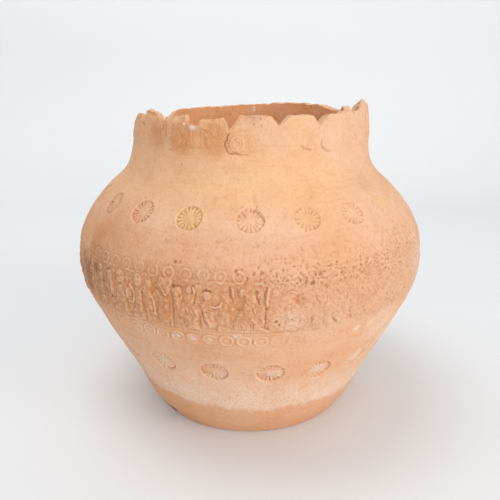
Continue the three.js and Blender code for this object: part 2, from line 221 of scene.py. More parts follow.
class Relief:
    """Heights over the smooth wall in millimetres, on the grid of rows and columns."""

    def __init__(self):
        self.height = np.zeros((len(ROWS), len(COLUMNS)))
        self.wear = np.interp(COLUMNS, WEAR[:, 0], WEAR[:, 1])
        self.slip_x = 0.45 * lattice_noise(5, 1) + 0.28 * lattice_noise(1.9, 2)
        self.slip_y = 0.45 * lattice_noise(5, 3) + 0.28 * lattice_noise(1.9, 4)
        self.press = np.clip(1 + 0.7 * lattice_noise(4.5, 5) + 0.3 * lattice_noise(1.5, 6), 0.15, 1.6)

    def near(self, azimuth, height, reach_x, reach_y, slip=1.0):
        """The grid cells near a point, and their distances from it along and up the wall.

        The distances slip a little from cell to cell, so that no line comes out ruled.
        """
        x = np.radians(wrap_degrees(COLUMNS - azimuth)) * wall_radius(np.array(height))
        y = ARC - arc_at(height)
        columns = np.nonzero(np.abs(x) < reach_x + 1)[0]
        rows = np.nonzero(np.abs(y) < reach_y + 1)[0]
        cells = np.ix_(rows, columns)
        along = x[columns][None, :] + slip * self.slip_x[cells]
        up = y[rows][:, None] + slip * self.slip_y[cells]
        return cells, along, up

    def blob(self, azimuth, height, half_width, half_height, rise):
        """A round boss, such as a head."""
        cells, x, y = self.near(azimuth, height, half_width, half_height)
        dome = np.sqrt(np.clip(1 - (x / half_width) ** 2 - (y / half_height) ** 2, 0, 1))
        lifted = RELIEF_SHARE * ROUNDED_SHARE * rise * dome * self.wear[cells[1]]
        self.height[cells] = np.maximum(self.height[cells], lifted)

    def dent(self, azimuth, height, radius, depth):
        cells, x, y = self.near(azimuth, height, radius, radius)
        bowl = np.clip(1 - (x**2 + y**2) / radius**2, 0, 1)
        self.height[cells] -= depth * bowl

    def distance(self, points, margin):
        """Distances from a line through points, and how far along it each cell lies, 0 to 1."""
        azimuths, heights = np.array(points, float).T
        middle = (azimuths.min() + azimuths.max()) / 2
        level = (heights.min() + heights.max()) / 2
        scale = math.radians(1) * float(wall_radius(np.array(level)))
        reach_x = (azimuths.max() - azimuths.min()) / 2 * scale + margin
        reach_y = (arc_at(heights.max()) - arc_at(heights.min())) / 2 + margin
        centre = np.interp((arc_at(heights.max()) + arc_at(heights.min())) / 2, ARC, ROWS)
        cells, x, y = self.near(middle, centre, reach_x, reach_y)
        line_x = (azimuths - middle) * scale
        line_y = arc_at(heights) - arc_at(centre)
        best = np.full(np.broadcast_shapes(x.shape, y.shape), np.inf)
        along = np.zeros_like(best)
        pieces = len(points) - 1
        for i in range(pieces):
            step_x = line_x[i + 1] - line_x[i]
            step_y = line_y[i + 1] - line_y[i]
            t = ((x - line_x[i]) * step_x + (y - line_y[i]) * step_y) / (step_x**2 + step_y**2)
            t = np.clip(t, 0, 1)
            gap = np.hypot(x - line_x[i] - t * step_x, y - line_y[i] - t * step_y)
            closer = gap < best
            best = np.where(closer, gap, best)
            along = np.where(closer, (i + t) / pieces, along)
        return cells, best, along

    def ridge(self, points, width, rise):
        """A raised cord along a line, such as an arm, a staff or the edge of a robe."""
        half = width / 2 * LINE_SPREAD
        cells, gap, _ = self.distance(points, half)
        cord = np.sqrt(np.clip(1 - (gap / half) ** 2, 0, 1))
        lifted = RELIEF_SHARE * ROUNDED_SHARE * rise * cord * self.wear[cells[1]]
        lifted = lifted * np.clip(self.press[cells], 0.25, 1.1)
        self.height[cells] = np.maximum(self.height[cells], lifted)

    def groove(self, points, width, depth, worn=True):
        """A line cut into the clay, fading towards its ends."""
        half = width / 2 * LINE_SPREAD
        cells, gap, along = self.distance(points, half)
        cut = np.clip(1 - (gap / half) ** 2, 0, 1) * smooth_step(0.15, np.minimum(along, 1 - along) + 0.05)
        share = self.wear[cells[1]] if worn else 1.0
        self.height[cells] -= 0.8 * depth * cut * share * self.press[cells]

    def panel(self, points, rise, soft=1.0):
        """A flat raised shape with soft edges, such as the body of a robe."""
        closed = points + points[:1]
        cells, gap, _ = self.distance(closed, soft)
        azimuths, heights = np.array(closed, float).T
        x = COLUMNS[cells[1]] + self.slip_x[cells] / 2.6
        y = ROWS[cells[0]] + self.slip_y[cells]
        inside = np.zeros(gap.shape, bool)
        for i in range(len(points)):
            crosses = (heights[i] > y) != (heights[i + 1] > y)
            rise_of_edge = heights[i + 1] - heights[i]
            level = 0 if rise_of_edge == 0 else (y - heights[i]) / rise_of_edge
            edge = azimuths[i] + level * (azimuths[i + 1] - azimuths[i])
            inside ^= crosses & (x < edge)
        signed = np.where(inside, gap, -gap)
        plate = RELIEF_SHARE * rise * smooth_step(2 * soft, signed + soft) * self.wear[cells[1]]
        self.height[cells] = np.maximum(self.height[cells], plate)


def row_round(front, count):
    """Azimuths of a row: the ones that were measured at the front and even steps for the rest."""
    rest = count - len(front)
    step = (front[0] + 360 - front[-1]) / (rest + 1)
    return front + [float(wrap_degrees(front[-1] + step * (i + 1))) for i in range(rest)]


def rosette(relief, azimuth, height, depth, radius):
    """A round stamp pressed into the clay: sixteen petals that widen outwards, cut apart by grooves."""
    cells, x, y = relief.near(azimuth, height, radius + 1.5, radius + 1.5, slip=0.4)
    distance = np.hypot(x, y)
    turn = np.arctan2(y, x) * PETALS / (2 * math.pi)
    from_groove = np.abs(turn - np.round(turn))
    petal = smooth_step(0.14, from_groove - 0.07)
    tip = smooth_step(1.6, radius * (0.97 - 0.13 * np.exp(-((from_groove / 0.11) ** 2))) - distance)
    groove = (1 - petal) * smooth_step(3.5, distance - 2.2)
    edge = smooth_step(0.9, radius - distance)
    sunk = depth * edge * (0.5 + 0.45 * groove + 0.3 * (1 - tip) * edge)
    lip = 0.18 * np.exp(-(((distance - radius - 0.4) / 0.6) ** 2))
    relief.height[cells] += lip - sunk * np.clip(relief.press[cells], 0.7, 1.2)


def roundel(relief, azimuth, height, radius, rise):
    """A bull's-eye: a raised ring round a small boss with a prick in the middle."""
    cells, x, y = relief.near(azimuth, height, radius + 1, radius + 1, slip=0.7)
    distance = np.hypot(x, y)
    ring = np.exp(-(((distance - radius * 0.8) / (radius * 0.14)) ** 2))
    boss = np.exp(-((distance / (radius * 0.28)) ** 2))
    prick = np.exp(-((distance / (radius * 0.1)) ** 2))
    moat = np.exp(-(((distance - radius * 1.08) / (radius * 0.1)) ** 2))
    stamp = ring + 0.7 * boss - 0.4 * prick - 0.25 * moat
    relief.height[cells] += rise * np.clip(relief.press[cells], 0.35, 1.2) * stamp


def border_lines(relief):
    """The lines that frame the frieze and close it over the heads: a low ridge with a cut beside it."""
    low, high = BORDER_LINES
    for line, side, share in ((low, 1, 1.0), (high, -1, 0.35), (HEAD_LINE, 1, 1.0)):
        gap = ROWS - line
        ridge = 0.16 * share * np.exp(-((gap / 0.9) ** 2))
        cut = 0.26 * share * np.exp(-(((gap - side * 1.3) / 0.6) ** 2))
        relief.height += (ridge - cut)[:, None] * (0.2 + 0.8 * relief.wear) * relief.press


def carve_left_figures(relief):
    """The crowded figures at the left end of what the front shows."""
    r = relief
    r.panel([(-67, 121), (-64, 121), (-64.5, 146), (-67, 146)], 1.6)
    r.blob(-65.6, 150.5, 2.8, 3.6, 1.9)
    r.panel([(-63, 121), (-59.2, 121), (-59.8, 138), (-59.5, 147), (-62, 147), (-62, 138)], 1.9)
    r.blob(-60.8, 151, 2.8, 3.8, 2.1)
    r.panel([(-56.6, 121), (-52, 121), (-53, 136), (-53, 148), (-56, 148), (-55.6, 136)], 1.9)
    r.blob(-54.3, 152, 2.8, 3.6, 2.0)
    r.ridge([(-56, 146), (-57, 140), (-55.2, 137)], 1.4, 2.2)
    r.panel([(-50.4, 121), (-46.4, 121), (-47.4, 138), (-47.4, 149), (-50, 148), (-50, 138)], 1.7)
    r.blob(-48.4, 152.3, 2.6, 3.4, 1.9)
    r.ridge([(-49.8, 136), (-48.8, 128), (-49.4, 122)], 1.3, 2.1)
    r.groove([(-63.4, 152), (-63.2, 140), (-63.6, 124)], 1.6, 1.1)
    r.groove([(-57.7, 152), (-57.5, 146), (-58.3, 141), (-57.4, 136), (-57.6, 126)], 2.0, 1.5)
    r.groove([(-51.3, 153.5), (-51.4, 146), (-51.2, 137), (-51.4, 124)], 1.8, 1.4)
    r.groove([(-45.7, 143.5), (-45.2, 137), (-44.9, 132.5)], 1.4, 1.2)
    r.panel([(-44.4, 136), (-41.6, 134), (-42.4, 146), (-43, 153), (-45, 152.5), (-45, 143)], 1.5)
    r.ridge([(-44.4, 134), (-42.5, 131), (-41.6, 126), (-42.4, 122)], 1.4, 1.4)
    r.dent(-45.1, 149.8, 1.1, 0.8)
    r.dent(-44.5, 153.4, 1.2, 0.8)
    r.blob(-39, 151, 4.8, 5.2, 1.9)
    r.dent(-38.2, 152, 0.9, 0.8)
    r.groove([(-41.3, 147.5), (-39.8, 145.4), (-37.4, 146)], 1.0, 0.8)
    r.panel([(-41, 122), (-36.5, 122), (-37, 138), (-38, 145), (-40, 145), (-40.4, 138)], 1.1)
    r.ridge([(-39.8, 138), (-40.6, 131), (-41.2, 124)], 1.1, 1.7)
    r.ridge([(-38.2, 137), (-37.6, 131), (-37.2, 125)], 1.1, 1.6)
    r.groove([(-40.6, 144.5), (-39.6, 141)], 1.1, 0.8)
    r.groove([(-37.8, 142.5), (-36.8, 139)], 1.1, 0.8)


def carve_sash_figures(relief):
    """The looped sash and the pair of figures beside it."""
    r = relief
    r.ridge([
        (-35.8, 143.5), (-36, 139), (-35.3, 134), (-34.2, 133.8), (-33.4, 137), (-33.4, 142), (-34.6, 147),
    ], 1.4, 2.0)
    r.groove([(-34.8, 143), (-34.6, 136.5)], 1.2, 0.7)
    r.blob(-35.9, 149.5, 1.2, 1.8, 1.4)
    r.ridge([(-32.8, 133), (-33.4, 128)], 1.5, 1.6)
    r.blob(-33.9, 123.8, 2.4, 4.3, 1.9)
    r.panel([(-33.4, 121), (-30.6, 121), (-30.7, 133), (-30.8, 146), (-33, 146)], 1.1)
    r.blob(-32.1, 151.5, 3.9, 5.2, 2.0)
    r.groove([(-30.4, 144), (-30.3, 133)], 1.1, 1.1)
    r.groove([(-32.4, 131), (-31.8, 123)], 0.7, 0.5)
    r.panel([(-29.6, 121), (-26.6, 121), (-27, 134), (-27.6, 146), (-29.4, 146)], 1.0)
    r.blob(-28.5, 150.8, 3.0, 4.0, 1.9)
    r.ridge([(-29.6, 148), (-27.8, 144), (-26.8, 141), (-26.5, 137)], 1.1, 1.9)
    r.blob(-28.6, 137.5, 1.8, 3.2, 1.8)
    r.ridge([(-26.6, 137), (-26.3, 127)], 1.0, 1.5)
    r.groove([(-28, 133), (-28.4, 126)], 0.7, 0.5)


def carve_robed_figures(relief):
    """The cloth panel, the robed figure with the round head and the pleated robe beside it."""
    r = relief
    r.panel([(-25.5, 121), (-22.2, 121), (-22.4, 142), (-25, 144)], 0.7)
    r.panel([(-25.2, 153), (-24.6, 157), (-21, 157), (-21.4, 148), (-22.8, 144.5)], 1.5)
    r.ridge([(-25, 152.5), (-22.8, 145)], 1.1, 2.1)
    r.groove([(-25.8, 149), (-23.3, 143.4)], 1.6, 1.0)
    r.blob(-19.6, 148.4, 3.5, 3.9, 2.0)
    r.groove([(-21.7, 150.6), (-20.9, 152.5), (-19.4, 152.9), (-18.2, 151.8), (-17.9, 149.4)], 1.1, 0.9)
    r.panel([(-20.6, 122), (-18, 122), (-18, 146), (-20.5, 146)], 1.2)
    r.groove([(-21, 146), (-20.8, 134), (-20.9, 122)], 1.2, 0.7)
    for azimuth in (-20.2, -19.6, -19.0):
        r.groove([(azimuth, 131), (azimuth + 0.2, 122)], 0.6, 0.5)
    r.ridge([(-19.4, 140), (-19, 134.5), (-17.8, 129.5), (-17, 125), (-16.7, 121.5)], 1.3, 2.1)
    r.blob(-21.5, 123.5, 1.6, 2.6, 1.6)
    r.panel([
        (-18, 141.5), (-15.8, 141.5), (-13.9, 137), (-13.9, 121.5),
        (-16.2, 121.5), (-17.2, 128), (-18.6, 134),
    ], 1.6)
    for shift in (0.0, 0.9, 1.8):
        r.groove([(-17.6 + shift, 140), (-16.6 + shift, 134.5), (-15.6 + shift, 130)], 0.6, 0.5)
    r.groove([(-13.5, 141.5), (-13.3, 132), (-13.4, 122.5)], 1.5, 1.6)
    r.blob(-16.2, 150, 2.4, 3.2, 1.5)
    r.panel([(-17.4, 141), (-15, 141), (-14.8, 147.5), (-17, 147.5)], 1.2)
    r.ridge([(-15.2, 153.5), (-14.5, 149.5), (-14.8, 145)], 1.2, 1.8)
    r.groove([(-14.2, 149), (-14.6, 145), (-14.9, 141)], 0.9, 0.9)


def carve_dancer(relief):
    """The figure with the swinging sash and the long leg, and the staff to its right."""
    r = relief
    r.blob(-11.2, 147.8, 2.7, 3.3, 1.8)
    r.groove([(-12.5, 149.6), (-11.9, 151.4), (-10.8, 151.7), (-9.9, 150.2)], 1.2, 1.0)
    r.panel([(-13, 124), (-9.4, 124), (-9.6, 138), (-10.5, 144), (-12.6, 144)], 0.9)
    r.ridge([(-11.2, 147), (-11.5, 143.8), (-10.6, 141.2), (-9, 140.2), (-7.6, 141), (-7.2, 144)], 1.3, 1.9)
    r.groove([(-12.1, 140), (-10.2, 137.8), (-8.2, 136)], 0.9, 0.7)
    r.groove([(-10.8, 140), (-9.6, 138.6), (-8.4, 138)], 0.6, 0.5)
    r.ridge([(-12.2, 138.5), (-11.6, 133), (-10.5, 126)], 1.3, 2.1)
    r.groove([(-12.9, 137), (-12.3, 131), (-11.5, 126)], 1.0, 0.9)
    r.groove([(-12.9, 145.5), (-12.1, 143.5)], 1.1, 0.7)
    r.panel([(-8.6, 122), (-5.6, 122), (-5.6, 148), (-7, 150), (-8, 140)], 0.6)
    r.ridge([(-4.7, 153.5), (-4.3, 148), (-3.7, 143)], 1.0, 1.6)
    r.groove([(-5.4, 155), (-5.2, 150), (-4.8, 146)], 0.9, 0.9)
    r.groove([(-4.6, 150), (-4, 145.5), (-3.5, 141)], 0.8, 0.7)
    r.groove([(-4.6, 141.5), (-4.5, 133), (-4.5, 122)], 1.3, 1.4)


def carve_skirted_figure(relief):
    """The broad figure in the middle, with curved folds and a pleated hem."""
    r = relief
    r.blob(-2.2, 151, 2.4, 3.0, 1.5)
    r.groove([(-3, 152.2), (-1.5, 148.8)], 0.6, 0.6)
    r.groove([(-1.6, 152.2), (-2.8, 149)], 0.6, 0.6)
    r.panel([(-1.8, 140), (1.2, 140), (1.4, 149), (-1.2, 150)], 1.4)
    r.panel([
        (-4.1, 121.5), (4.6, 121), (2.6, 126), (1, 133), (0.4, 142), (-1.4, 142), (-3.4, 134), (-4.1, 128),
    ], 1.5)
    r.ridge([(-0.6, 145), (-0.5, 138), (0.1, 133), (1.4, 128.4), (2.8, 125), (4.6, 122)], 1.3, 2.2)
    r.panel([(0.4, 141), (2.2, 140), (4, 126), (2.8, 126), (1.2, 131)], 1.0)
    for shift in (0.7, 1.35, 2.0):
        hem = (3.1 + shift * 0.8, 126)
        r.groove([(shift - 0.2, 141), (0.5 + shift, 135), (1.9 + shift, 129.5), hem], 0.6, 0.55)
    for i in range(8):
        azimuth = -3.7 + 0.62 * i
        r.groove([(azimuth, 128.5), (azimuth, 121.8)], 0.5, 0.45)
    for i in range(4):
        r.groove([(-3.4, 138 - 2.2 * i), (-1.2, 139.5 - 2.2 * i)], 0.5, 0.35)


def carve_worn_figures(relief):
    """The figures to the right of the middle, rubbed down to hints."""
    r = relief
    r.panel([(4.8, 122), (8.8, 122), (8.6, 136), (7.8, 146), (5.2, 146), (4.8, 136)], 1.0)
    r.blob(6.5, 151, 2.4, 2.8, 1.4)
    r.ridge([(4.8, 153.5), (4.4, 148), (4.5, 142.5)], 1.9, 2.5)
    r.groove([(3.9, 154), (3.6, 147)], 1.0, 1.3)
    r.dent(1.6, 151.3, 1.7, 1.1)
    r.groove([(1.7, 149.5), (2.3, 142.5)], 1.1, 1.2)
    r.groove([(4.1, 140), (3.8, 132), (3.7, 124)], 1.2, 1.4)
    r.dent(6.7, 129.6, 1.7, 1.2)
    r.dent(7.6, 126.8, 1.4, 1.0)
    r.panel([(9.4, 122), (12.8, 122), (12.4, 145), (9.8, 145)], 1.0)
    r.ridge([(9.2, 147.5), (9.8, 150), (10.6, 150.9), (11.6, 150), (12.2, 147.5)], 1.0, 1.7)
    r.dent(12.1, 143.6, 2.0, 1.0)
    r.dent(13.8, 144.8, 2.0, 1.0)
    r.dent(13.6, 148.3, 1.2, 0.6)
    r.dent(10.8, 130.4, 1.0, 0.8)
    r.panel([(16.4, 122), (19.6, 122), (19.4, 140), (18.8, 148), (17, 148), (17, 140)], 0.9)
    r.groove([(17.1, 149), (17.6, 144.5), (18.5, 140.5)], 1.0, 1.9)
    r.groove([(19, 148), (18.3, 143.5)], 0.8, 1.2)
    r.groove([(16.2, 136), (16.4, 126)], 1.1, 1.1)
    r.groove([(20.3, 153.5), (20.5, 142)], 1.0, 1.2)
    r.panel([(23.6, 133), (27.6, 133), (27, 146), (24.6, 146)], 1.0)
    r.blob(25.6, 150, 2.6, 3.0, 1.5)
    r.panel([(24.6, 121.5), (27.2, 121.5), (27, 133), (24, 133)], 1.6)
    r.groove([(22, 133), (22.9, 127.5), (24.2, 122.5)], 1.5, 2.4)
    r.groove([(27.5, 133.5), (28.2, 128), (28.8, 123.5)], 1.3, 2.1)
    r.dent(24, 147.6, 1.7, 0.7)
    r.dent(28.4, 147, 1.3, 0.6)
    r.groove([(26.8, 146.5), (26.4, 140.5)], 1.1, 1.4)
    r.groove([(33.5, 147), (34.8, 141)], 1.1, 1.2)
    r.groove([(37, 146), (38.4, 141)], 1.1, 1.2)
    r.groove([(42, 143), (42.9, 139.6)], 1.0, 1.0)
    r.groove([(33, 128.5), (34.3, 123.5)], 1.2, 1.4)
    r.groove([(36.8, 126), (38, 121.5)], 1.0, 1.2)
    r.groove([(41.5, 132), (44, 129.5), (45.5, 127), (47, 121.5)], 1.6, 2.0)


def carve_plain_figure(relief, azimuth, kind):
    """A plainer figure of the sides that the front doesn't show: robe, head, arm and folds."""
    r = relief
    lean = 0.4 if kind % 2 else -0.4
    hem = 1.7 + 0.35 * (kind % 3)
    foot, waist, neck = GROUND + 1.5, GROUND + 17, GROUND + 27.5
    r.panel([
        (azimuth - hem, foot), (azimuth + hem, foot), (azimuth + 0.8, waist),
        (azimuth + lean + 1.1, neck), (azimuth + lean - 1.1, neck), (azimuth - 0.8, waist),
    ], 1.5)
    r.blob(azimuth + lean, GROUND + 31, 2.7, 3.3, 2.0)
    side = 1 if kind % 2 else -1
    elbow = (azimuth + side * 2.2, GROUND + 20)
    r.ridge([(azimuth + side, GROUND + 26), elbow, (azimuth + side, GROUND + 15)], 1.2, 1.8)
    for i in (-1, 0, 1):
        r.groove([(azimuth + i * 0.3, GROUND + 15), (azimuth + hem * i * 0.6, GROUND + 2)], 0.8, 0.6)
    if kind % 4 == 0:
        r.ridge([(azimuth - 2.6, GROUND + 33), (azimuth - 2.4, GROUND + 3)], 1.0, 1.5)


def carve_plain_figures(relief):
    first, last, count = 35.0, 289.0, 27
    for index, azimuth in enumerate(np.linspace(first, last, count)):
        if azimuth > 48:
            carve_plain_figure(relief, float(wrap_degrees(azimuth)), index)


def roughen_frieze(relief):
    """Moulded clay is lumpy between the figures, and more so where it is worn."""
    band = rows_within(FIGURE_BAND, 3, 3)
    lumps = 0.34 * lattice_noise(3.0, 11) + 0.3 * lattice_noise(1.5, 12) + 0.4 * lattice_noise(8, 13)
    left_share = np.interp(COLUMNS, [-180, -70, 0, 14, 40, 90, 180], [0.8, 1, 1, 0.6, 0.45, 0.5, 0.8])
    relief.height += band * lumps * left_share
    right_end = np.interp(COLUMNS, [-8, 14, 60, 80], [0, 1, 1, 0.4], left=0, right=0)
    eroded = rows_within(ERODED_BAND, 5, 9) * right_end
    holes = np.clip(lattice_noise(2.4, 14) + 0.6 * lattice_noise(1.3, 15) - 0.15, 0, 1)
    relief.height -= 0.4 * eroded * holes


def pit_fields(relief):
    """Pits in the clay: count, azimuths, heights, radii, share of depth. They crowd on the right."""
    rng = np.random.default_rng(7)
    fields = [
        (110, (-4, 46), (154, 168), (0.4, 1.0), 0.8),
        (230, (2, 60), (150, 178), (0.3, 0.7), 0.6),
        (70, (40, 64), (160, 180), (0.4, 0.9), 0.5),
        (300, (-45, 55), (166, 186), (0.3, 0.6), 0.5),
        (110, (-60, 60), (122, 156), (0.3, 0.8), 0.7),
        (190, (-70, 70), (172, 215), (0.25, 0.45), 0.35),
        (120, (-70, 70), (20, 110), (0.25, 0.45), 0.35),
        (500, (60, 290), (20, 225), (0.4, 0.9), 0.5),
        (160, (60, 290), (150, 172), (0.5, 1.2), 0.9),
    ]
    marks = []
    for count, azimuths, heights, radii, depth in fields:
        for _ in range(count):
            azimuth = float(wrap_degrees(rng.uniform(*azimuths)))
            height = rng.uniform(*heights)
            radius = rng.uniform(*radii)
            relief.dent(azimuth, height, radius * 1.25, depth * radius)
            marks.append((azimuth, height, radius))
    return marks


# Cracks and flaked edges: a line of [azimuth, height], its width and its depth
CRACKS = [
    ([
        (-8.4, 251), (-8.8, 249.4), (-9.5, 248.2), (-9.3, 246.2), (-10, 244.8), (-10.5, 242.4), (-10, 240.6),
        (-9.2, 239), (-9.2, 237.4), (-8, 236.2), (-6.6, 236.6), (-5.4, 236.4), (-4, 235.9), (-0.6, 235.5),
    ], 0.6, 1.3),
    ([(20.7, 242.2), (21.6, 240.6), (22, 239.4), (23.4, 239.1), (24, 238.6), (26, 238.2)], 0.8, 1.0),
    ([
        (31.5, 245.6), (30.8, 243.4), (30.6, 241), (31.5, 239), (32.8, 237.6), (33.5, 236.2), (35.3, 235.8),
    ], 0.8, 1.1),
    ([(-21.8, 255), (-20, 253), (-18, 251.2), (-16, 250), (-14.5, 247)], 0.5, 0.5),
    ([(42, 246), (43, 243), (42.6, 240)], 0.5, 0.4),
    ([(52, 247), (53.4, 243.6), (53, 241)], 0.6, 0.4),
    ([(-37.2, 237.4), (-36, 236.6), (-34, 237.2)], 0.8, 0.6),
    ([(-39.2, 257), (-39.4, 250), (-38.8, 244)], 0.9, 0.8),
    ([(66.4, 260), (65.6, 255), (66.2, 248), (65.4, 241)], 2.4, 1.8),
    ([(-58.2, 259), (-57.4, 256), (-56.8, 252.5)], 3.6, 3.6),
    ([(0, 201), (1.8, 200), (3.5, 197.2), (4.3, 194.5), (3.9, 192.2)], 0.8, 0.9),
    ([(2.1, 203.2), (2.3, 200)], 0.6, 0.6),
]

# Ringed bosses on the neck: azimuth, height, radius, how clear they are
NECK_RINGS = [
    (-5.4, 243, 5.6, 1.5), (2.2, 243.2, 5.2, 0.8), (-34, 245, 6.4, 0.6), (14.4, 243, 5.2, 0.35),
    (46, 243, 5.6, 0.35), (40.5, 245, 3.2, 0.4),
]

# The curled scratch on the shoulder above the middle rosette
SCRATCH = [(10, 217), (6, 218), (2.4, 215), (0.6, 210), (0.9, 205), (1.4, 199), (2.8, 195)]


def weather_neck(relief):
    """The rough band under the lip: flakes, ringed bosses, cracks and the scaled left teeth."""
    r = relief
    r.wear = np.ones_like(r.wear)
    low = 238 + 1.6 * np.interp(COLUMNS, [-180, -50, -25, -8, 5, 30, 180], [0, 0.5, 0.8, -0.6, 0.2, 0, 0])
    band = smooth_step(2.5, ROWS[:, None] - low[None, :])
    flakes = lattice_noise(5.5, 21) + 0.5 * lattice_noise(2.4, 22)
    left_share = np.interp(COLUMNS, [-60, -12, 0, 30], [1.2, 1.2, 0.7, 0.6])
    plates = smooth_step(0.35, flakes) * 0.26 + 0.14 * lattice_noise(1.4, 23)
    r.height += band * (0.25 + plates * left_share)
    for azimuth, height, size, share in NECK_RINGS:
        cells, x, y = r.near(azimuth, height, size + 1, size + 1, slip=0.5)
        distance = np.hypot(x, y)
        rings = np.exp(-(((distance - size * 0.86) / 0.6) ** 2))
        rings += np.exp(-(((distance - size * 0.45) / 0.5) ** 2))
        rings += np.exp(-((distance / 0.8) ** 2))
        r.height[cells] += share * (0.2 * smooth_step(1.0, size - distance) + 0.4 * rings)
    for points, width, depth in CRACKS:
        r.groove(points, width, depth, worn=False)
    r.groove(SCRATCH, 0.9, 0.22, worn=False)
    spall(r, [(-9, 250.5), (-7.6, 252), (-4, 255.5), (1, 257), (6, 259.4), (9, 261)], 2.0)
    spall(r, [(-54.5, 259.5), (-46, 258.5)], 1.4)
    spall(r, [(-39.2, 258.5), (-34, 258), (-29, 257.5)], 1.8)
    spall(r, [(-21, 258.2), (-12.5, 258.2)], 0.9)


def spall(relief, line, depth):
    """The outer face has flaked off above a line near the lip."""
    azimuths, heights = np.array(line, float).T
    low = np.interp(COLUMNS, azimuths, heights)
    inside = (COLUMNS >= azimuths[0]) & (COLUMNS <= azimuths[-1])
    above = (ROWS[:, None] - low[None, :] + 0.5 * lattice_noise(1.6, 31)) * inside
    relief.height -= np.clip(above * 0.5, 0, depth)


def build_relief():
    relief = Relief()
    border_lines(relief)
    carve_left_figures(relief)
    carve_sash_figures(relief)
    carve_robed_figures(relief)
    carve_dancer(relief)
    carve_skirted_figure(relief)
    carve_worn_figures(relief)
    carve_plain_figures(relief)
    roughen_frieze(relief)
    carve_roundels(relief)
    carve_rosettes(relief)
    weather_neck(relief)
    marks = pit_fields(relief)
    return relief, marks


def carve_roundels(relief):
    rng = np.random.default_rng(3)
    for row, rise in ((UPPER_ROUNDELS, 0.62), (LOWER_ROUNDELS, 0.75)):
        for index in range(ROUNDEL_COUNT):
            azimuth = float(wrap_degrees(row["start"] + 360 / ROUNDEL_COUNT * index))
            share = 0.25 + 0.75 * float(np.interp(azimuth, WEAR[:, 0], WEAR[:, 1])) if azimuth < 12 else 0.5
            if row is UPPER_ROUNDELS and 0 < azimuth < 26:
                share = 0.6
            slip, press = rng.uniform(-0.5, 0.5), rng.uniform(0.6, 1.1)
            roundel(relief, azimuth + slip * 0.4, row["height"] + slip, row["radius"], rise * share * press)


def carve_rosettes(relief):
    """Both rows of stamps; the one after the last of the shoulder's front is all but worn away."""
    for azimuth in row_round(SHOULDER_FRONT, ROSETTE_COUNT):
        worn_away = 50 < azimuth < 56
        depth = 0.25 if worn_away else STAMP_DEPTHS.get(azimuth, 1.2)
        rosette(relief, azimuth, SHOULDER_ROSETTES, depth, ROSETTE_RADIUS)
    for azimuth in row_round(LOWER_FRONT, ROSETTE_COUNT):
        drop = float(np.interp(azimuth, *np.array(LOWER_ROW_DROP).T))
        depth = STAMP_DEPTHS.get(azimuth, 1.8)
        rosette(relief, azimuth, LOWER_ROSETTES - drop, depth, LOWER_ROSETTE_RADIUS)


def break_heights(columns):
    """The height of the broken lip at each azimuth, with the V-shaped cuts."""
    lip = np.interp(columns, BREAK_LINE[:, 0], BREAK_LINE[:, 1])
    rough = lattice_noise(1.6, 41, np.array([0.3, 20.0]), columns)
    wave = lattice_noise(6, 42, np.array([0.3, 20.0]), columns)
    ragged = np.interp(columns, [-70, -20, 0, 50, 70], [1, 0.8, 0.25, 0.35, 1])
    lip = lip + ragged * (0.3 * rough[0] + 0.4 * wave[0])
    for azimuth, left, right, point in NOTCHES:
        turn = columns - azimuth
        side = np.where(turn < 0, left, right)
        depth = np.maximum(RIM_HEIGHT, lip) - point
        cut = point + np.abs(turn) / side * depth + 0.25 * ragged * rough[1]
        lip = np.minimum(lip, cut)
    return lip


def row_heights(lip):
    """The true height of every row at every azimuth: the top rows follow the broken lip."""
    share = np.clip((ROWS - BREAK_START) / (RIM_HEIGHT - BREAK_START), 0, 1)[:, None]
    return np.where(ROWS[:, None] > BREAK_START, BREAK_START + share * (lip - BREAK_START), ROWS[:, None])


def at_heights(values, height):
    """Values drawn on the even rows, read off at the true heights."""
    columns = [np.interp(height[:, j], ROWS, values[:, j]) for j in range(len(COLUMNS))]
    return np.stack(columns, axis=1)


def outer_points(relief):
    """Radius and height of the outer wall on the grid, with its relief and the broken lip."""
    lip = break_heights(COLUMNS)
    height = row_heights(lip)
    slope = wall_slope(height)
    length = np.hypot(1, slope)
    wobble = 0.35 * lattice_noise(70, 51) + 0.12 * lattice_noise(22, 52)
    out = at_heights(relief.height, height) + wobble * smooth_step(20, ROWS - 3)[:, None]
    out = out + NECK_LEAN * np.sin(np.radians(COLUMNS)) * smooth_step(30, height - 222)
    return wall_radius(height) + out / length, height - out * slope / length, lip


def inner_points(lip):
    """Radius and height of the inner wall, from the lip down to the floor, with throwing rings."""
    rows = np.concatenate([np.linspace(0, 1, 24), [1]])
    top = lip[None, :] * (1 - rows[:24, None]) + 232 * rows[:24, None]
    foot_rows = [26, 20, 15, 11.5, 9, FLOOR_TOP]
    down = np.concatenate([np.arange(230, 200, -1.6), np.arange(200, 30, -3.2), foot_rows])
    heights = np.concatenate([top, down[:, None] + np.zeros(len(COLUMNS))])
    mean = heights.mean(axis=1)
    walls = [WALL_AT_BELLY, WALL_AT_BELLY, 6.2, WALL_AT_RIM]
    thickness = np.interp(mean, [30, 200, 235, RIM_HEIGHT], walls)[:, None]
    foot = np.interp(mean, [FLOOR_TOP, 11.5, 20, 30], [FLOOR_RADIUS, 84, 90.5, 96])[:, None]
    wall = wall_radius(heights) - thickness
    blend = smooth_step(12, heights - 24)
    rings = 0.35 * np.sin(heights * 2 * math.pi / 9.5 + 0.6 * np.sin(np.radians(COLUMNS))[None, :])
    rings = rings * smooth_step(10, heights - 14) * (1 - 0.8 * smooth_step(30, heights - 205))
    return foot * (1 - blend) + wall * blend + rings, heights


def level_rings(rings):
    """Radius and height on the grid of rings that run level round the jar."""
    radii, heights = np.array(rings, float).T
    shape = np.zeros((len(radii), len(COLUMNS)))
    return radii[:, None] + shape, heights[:, None] + shape


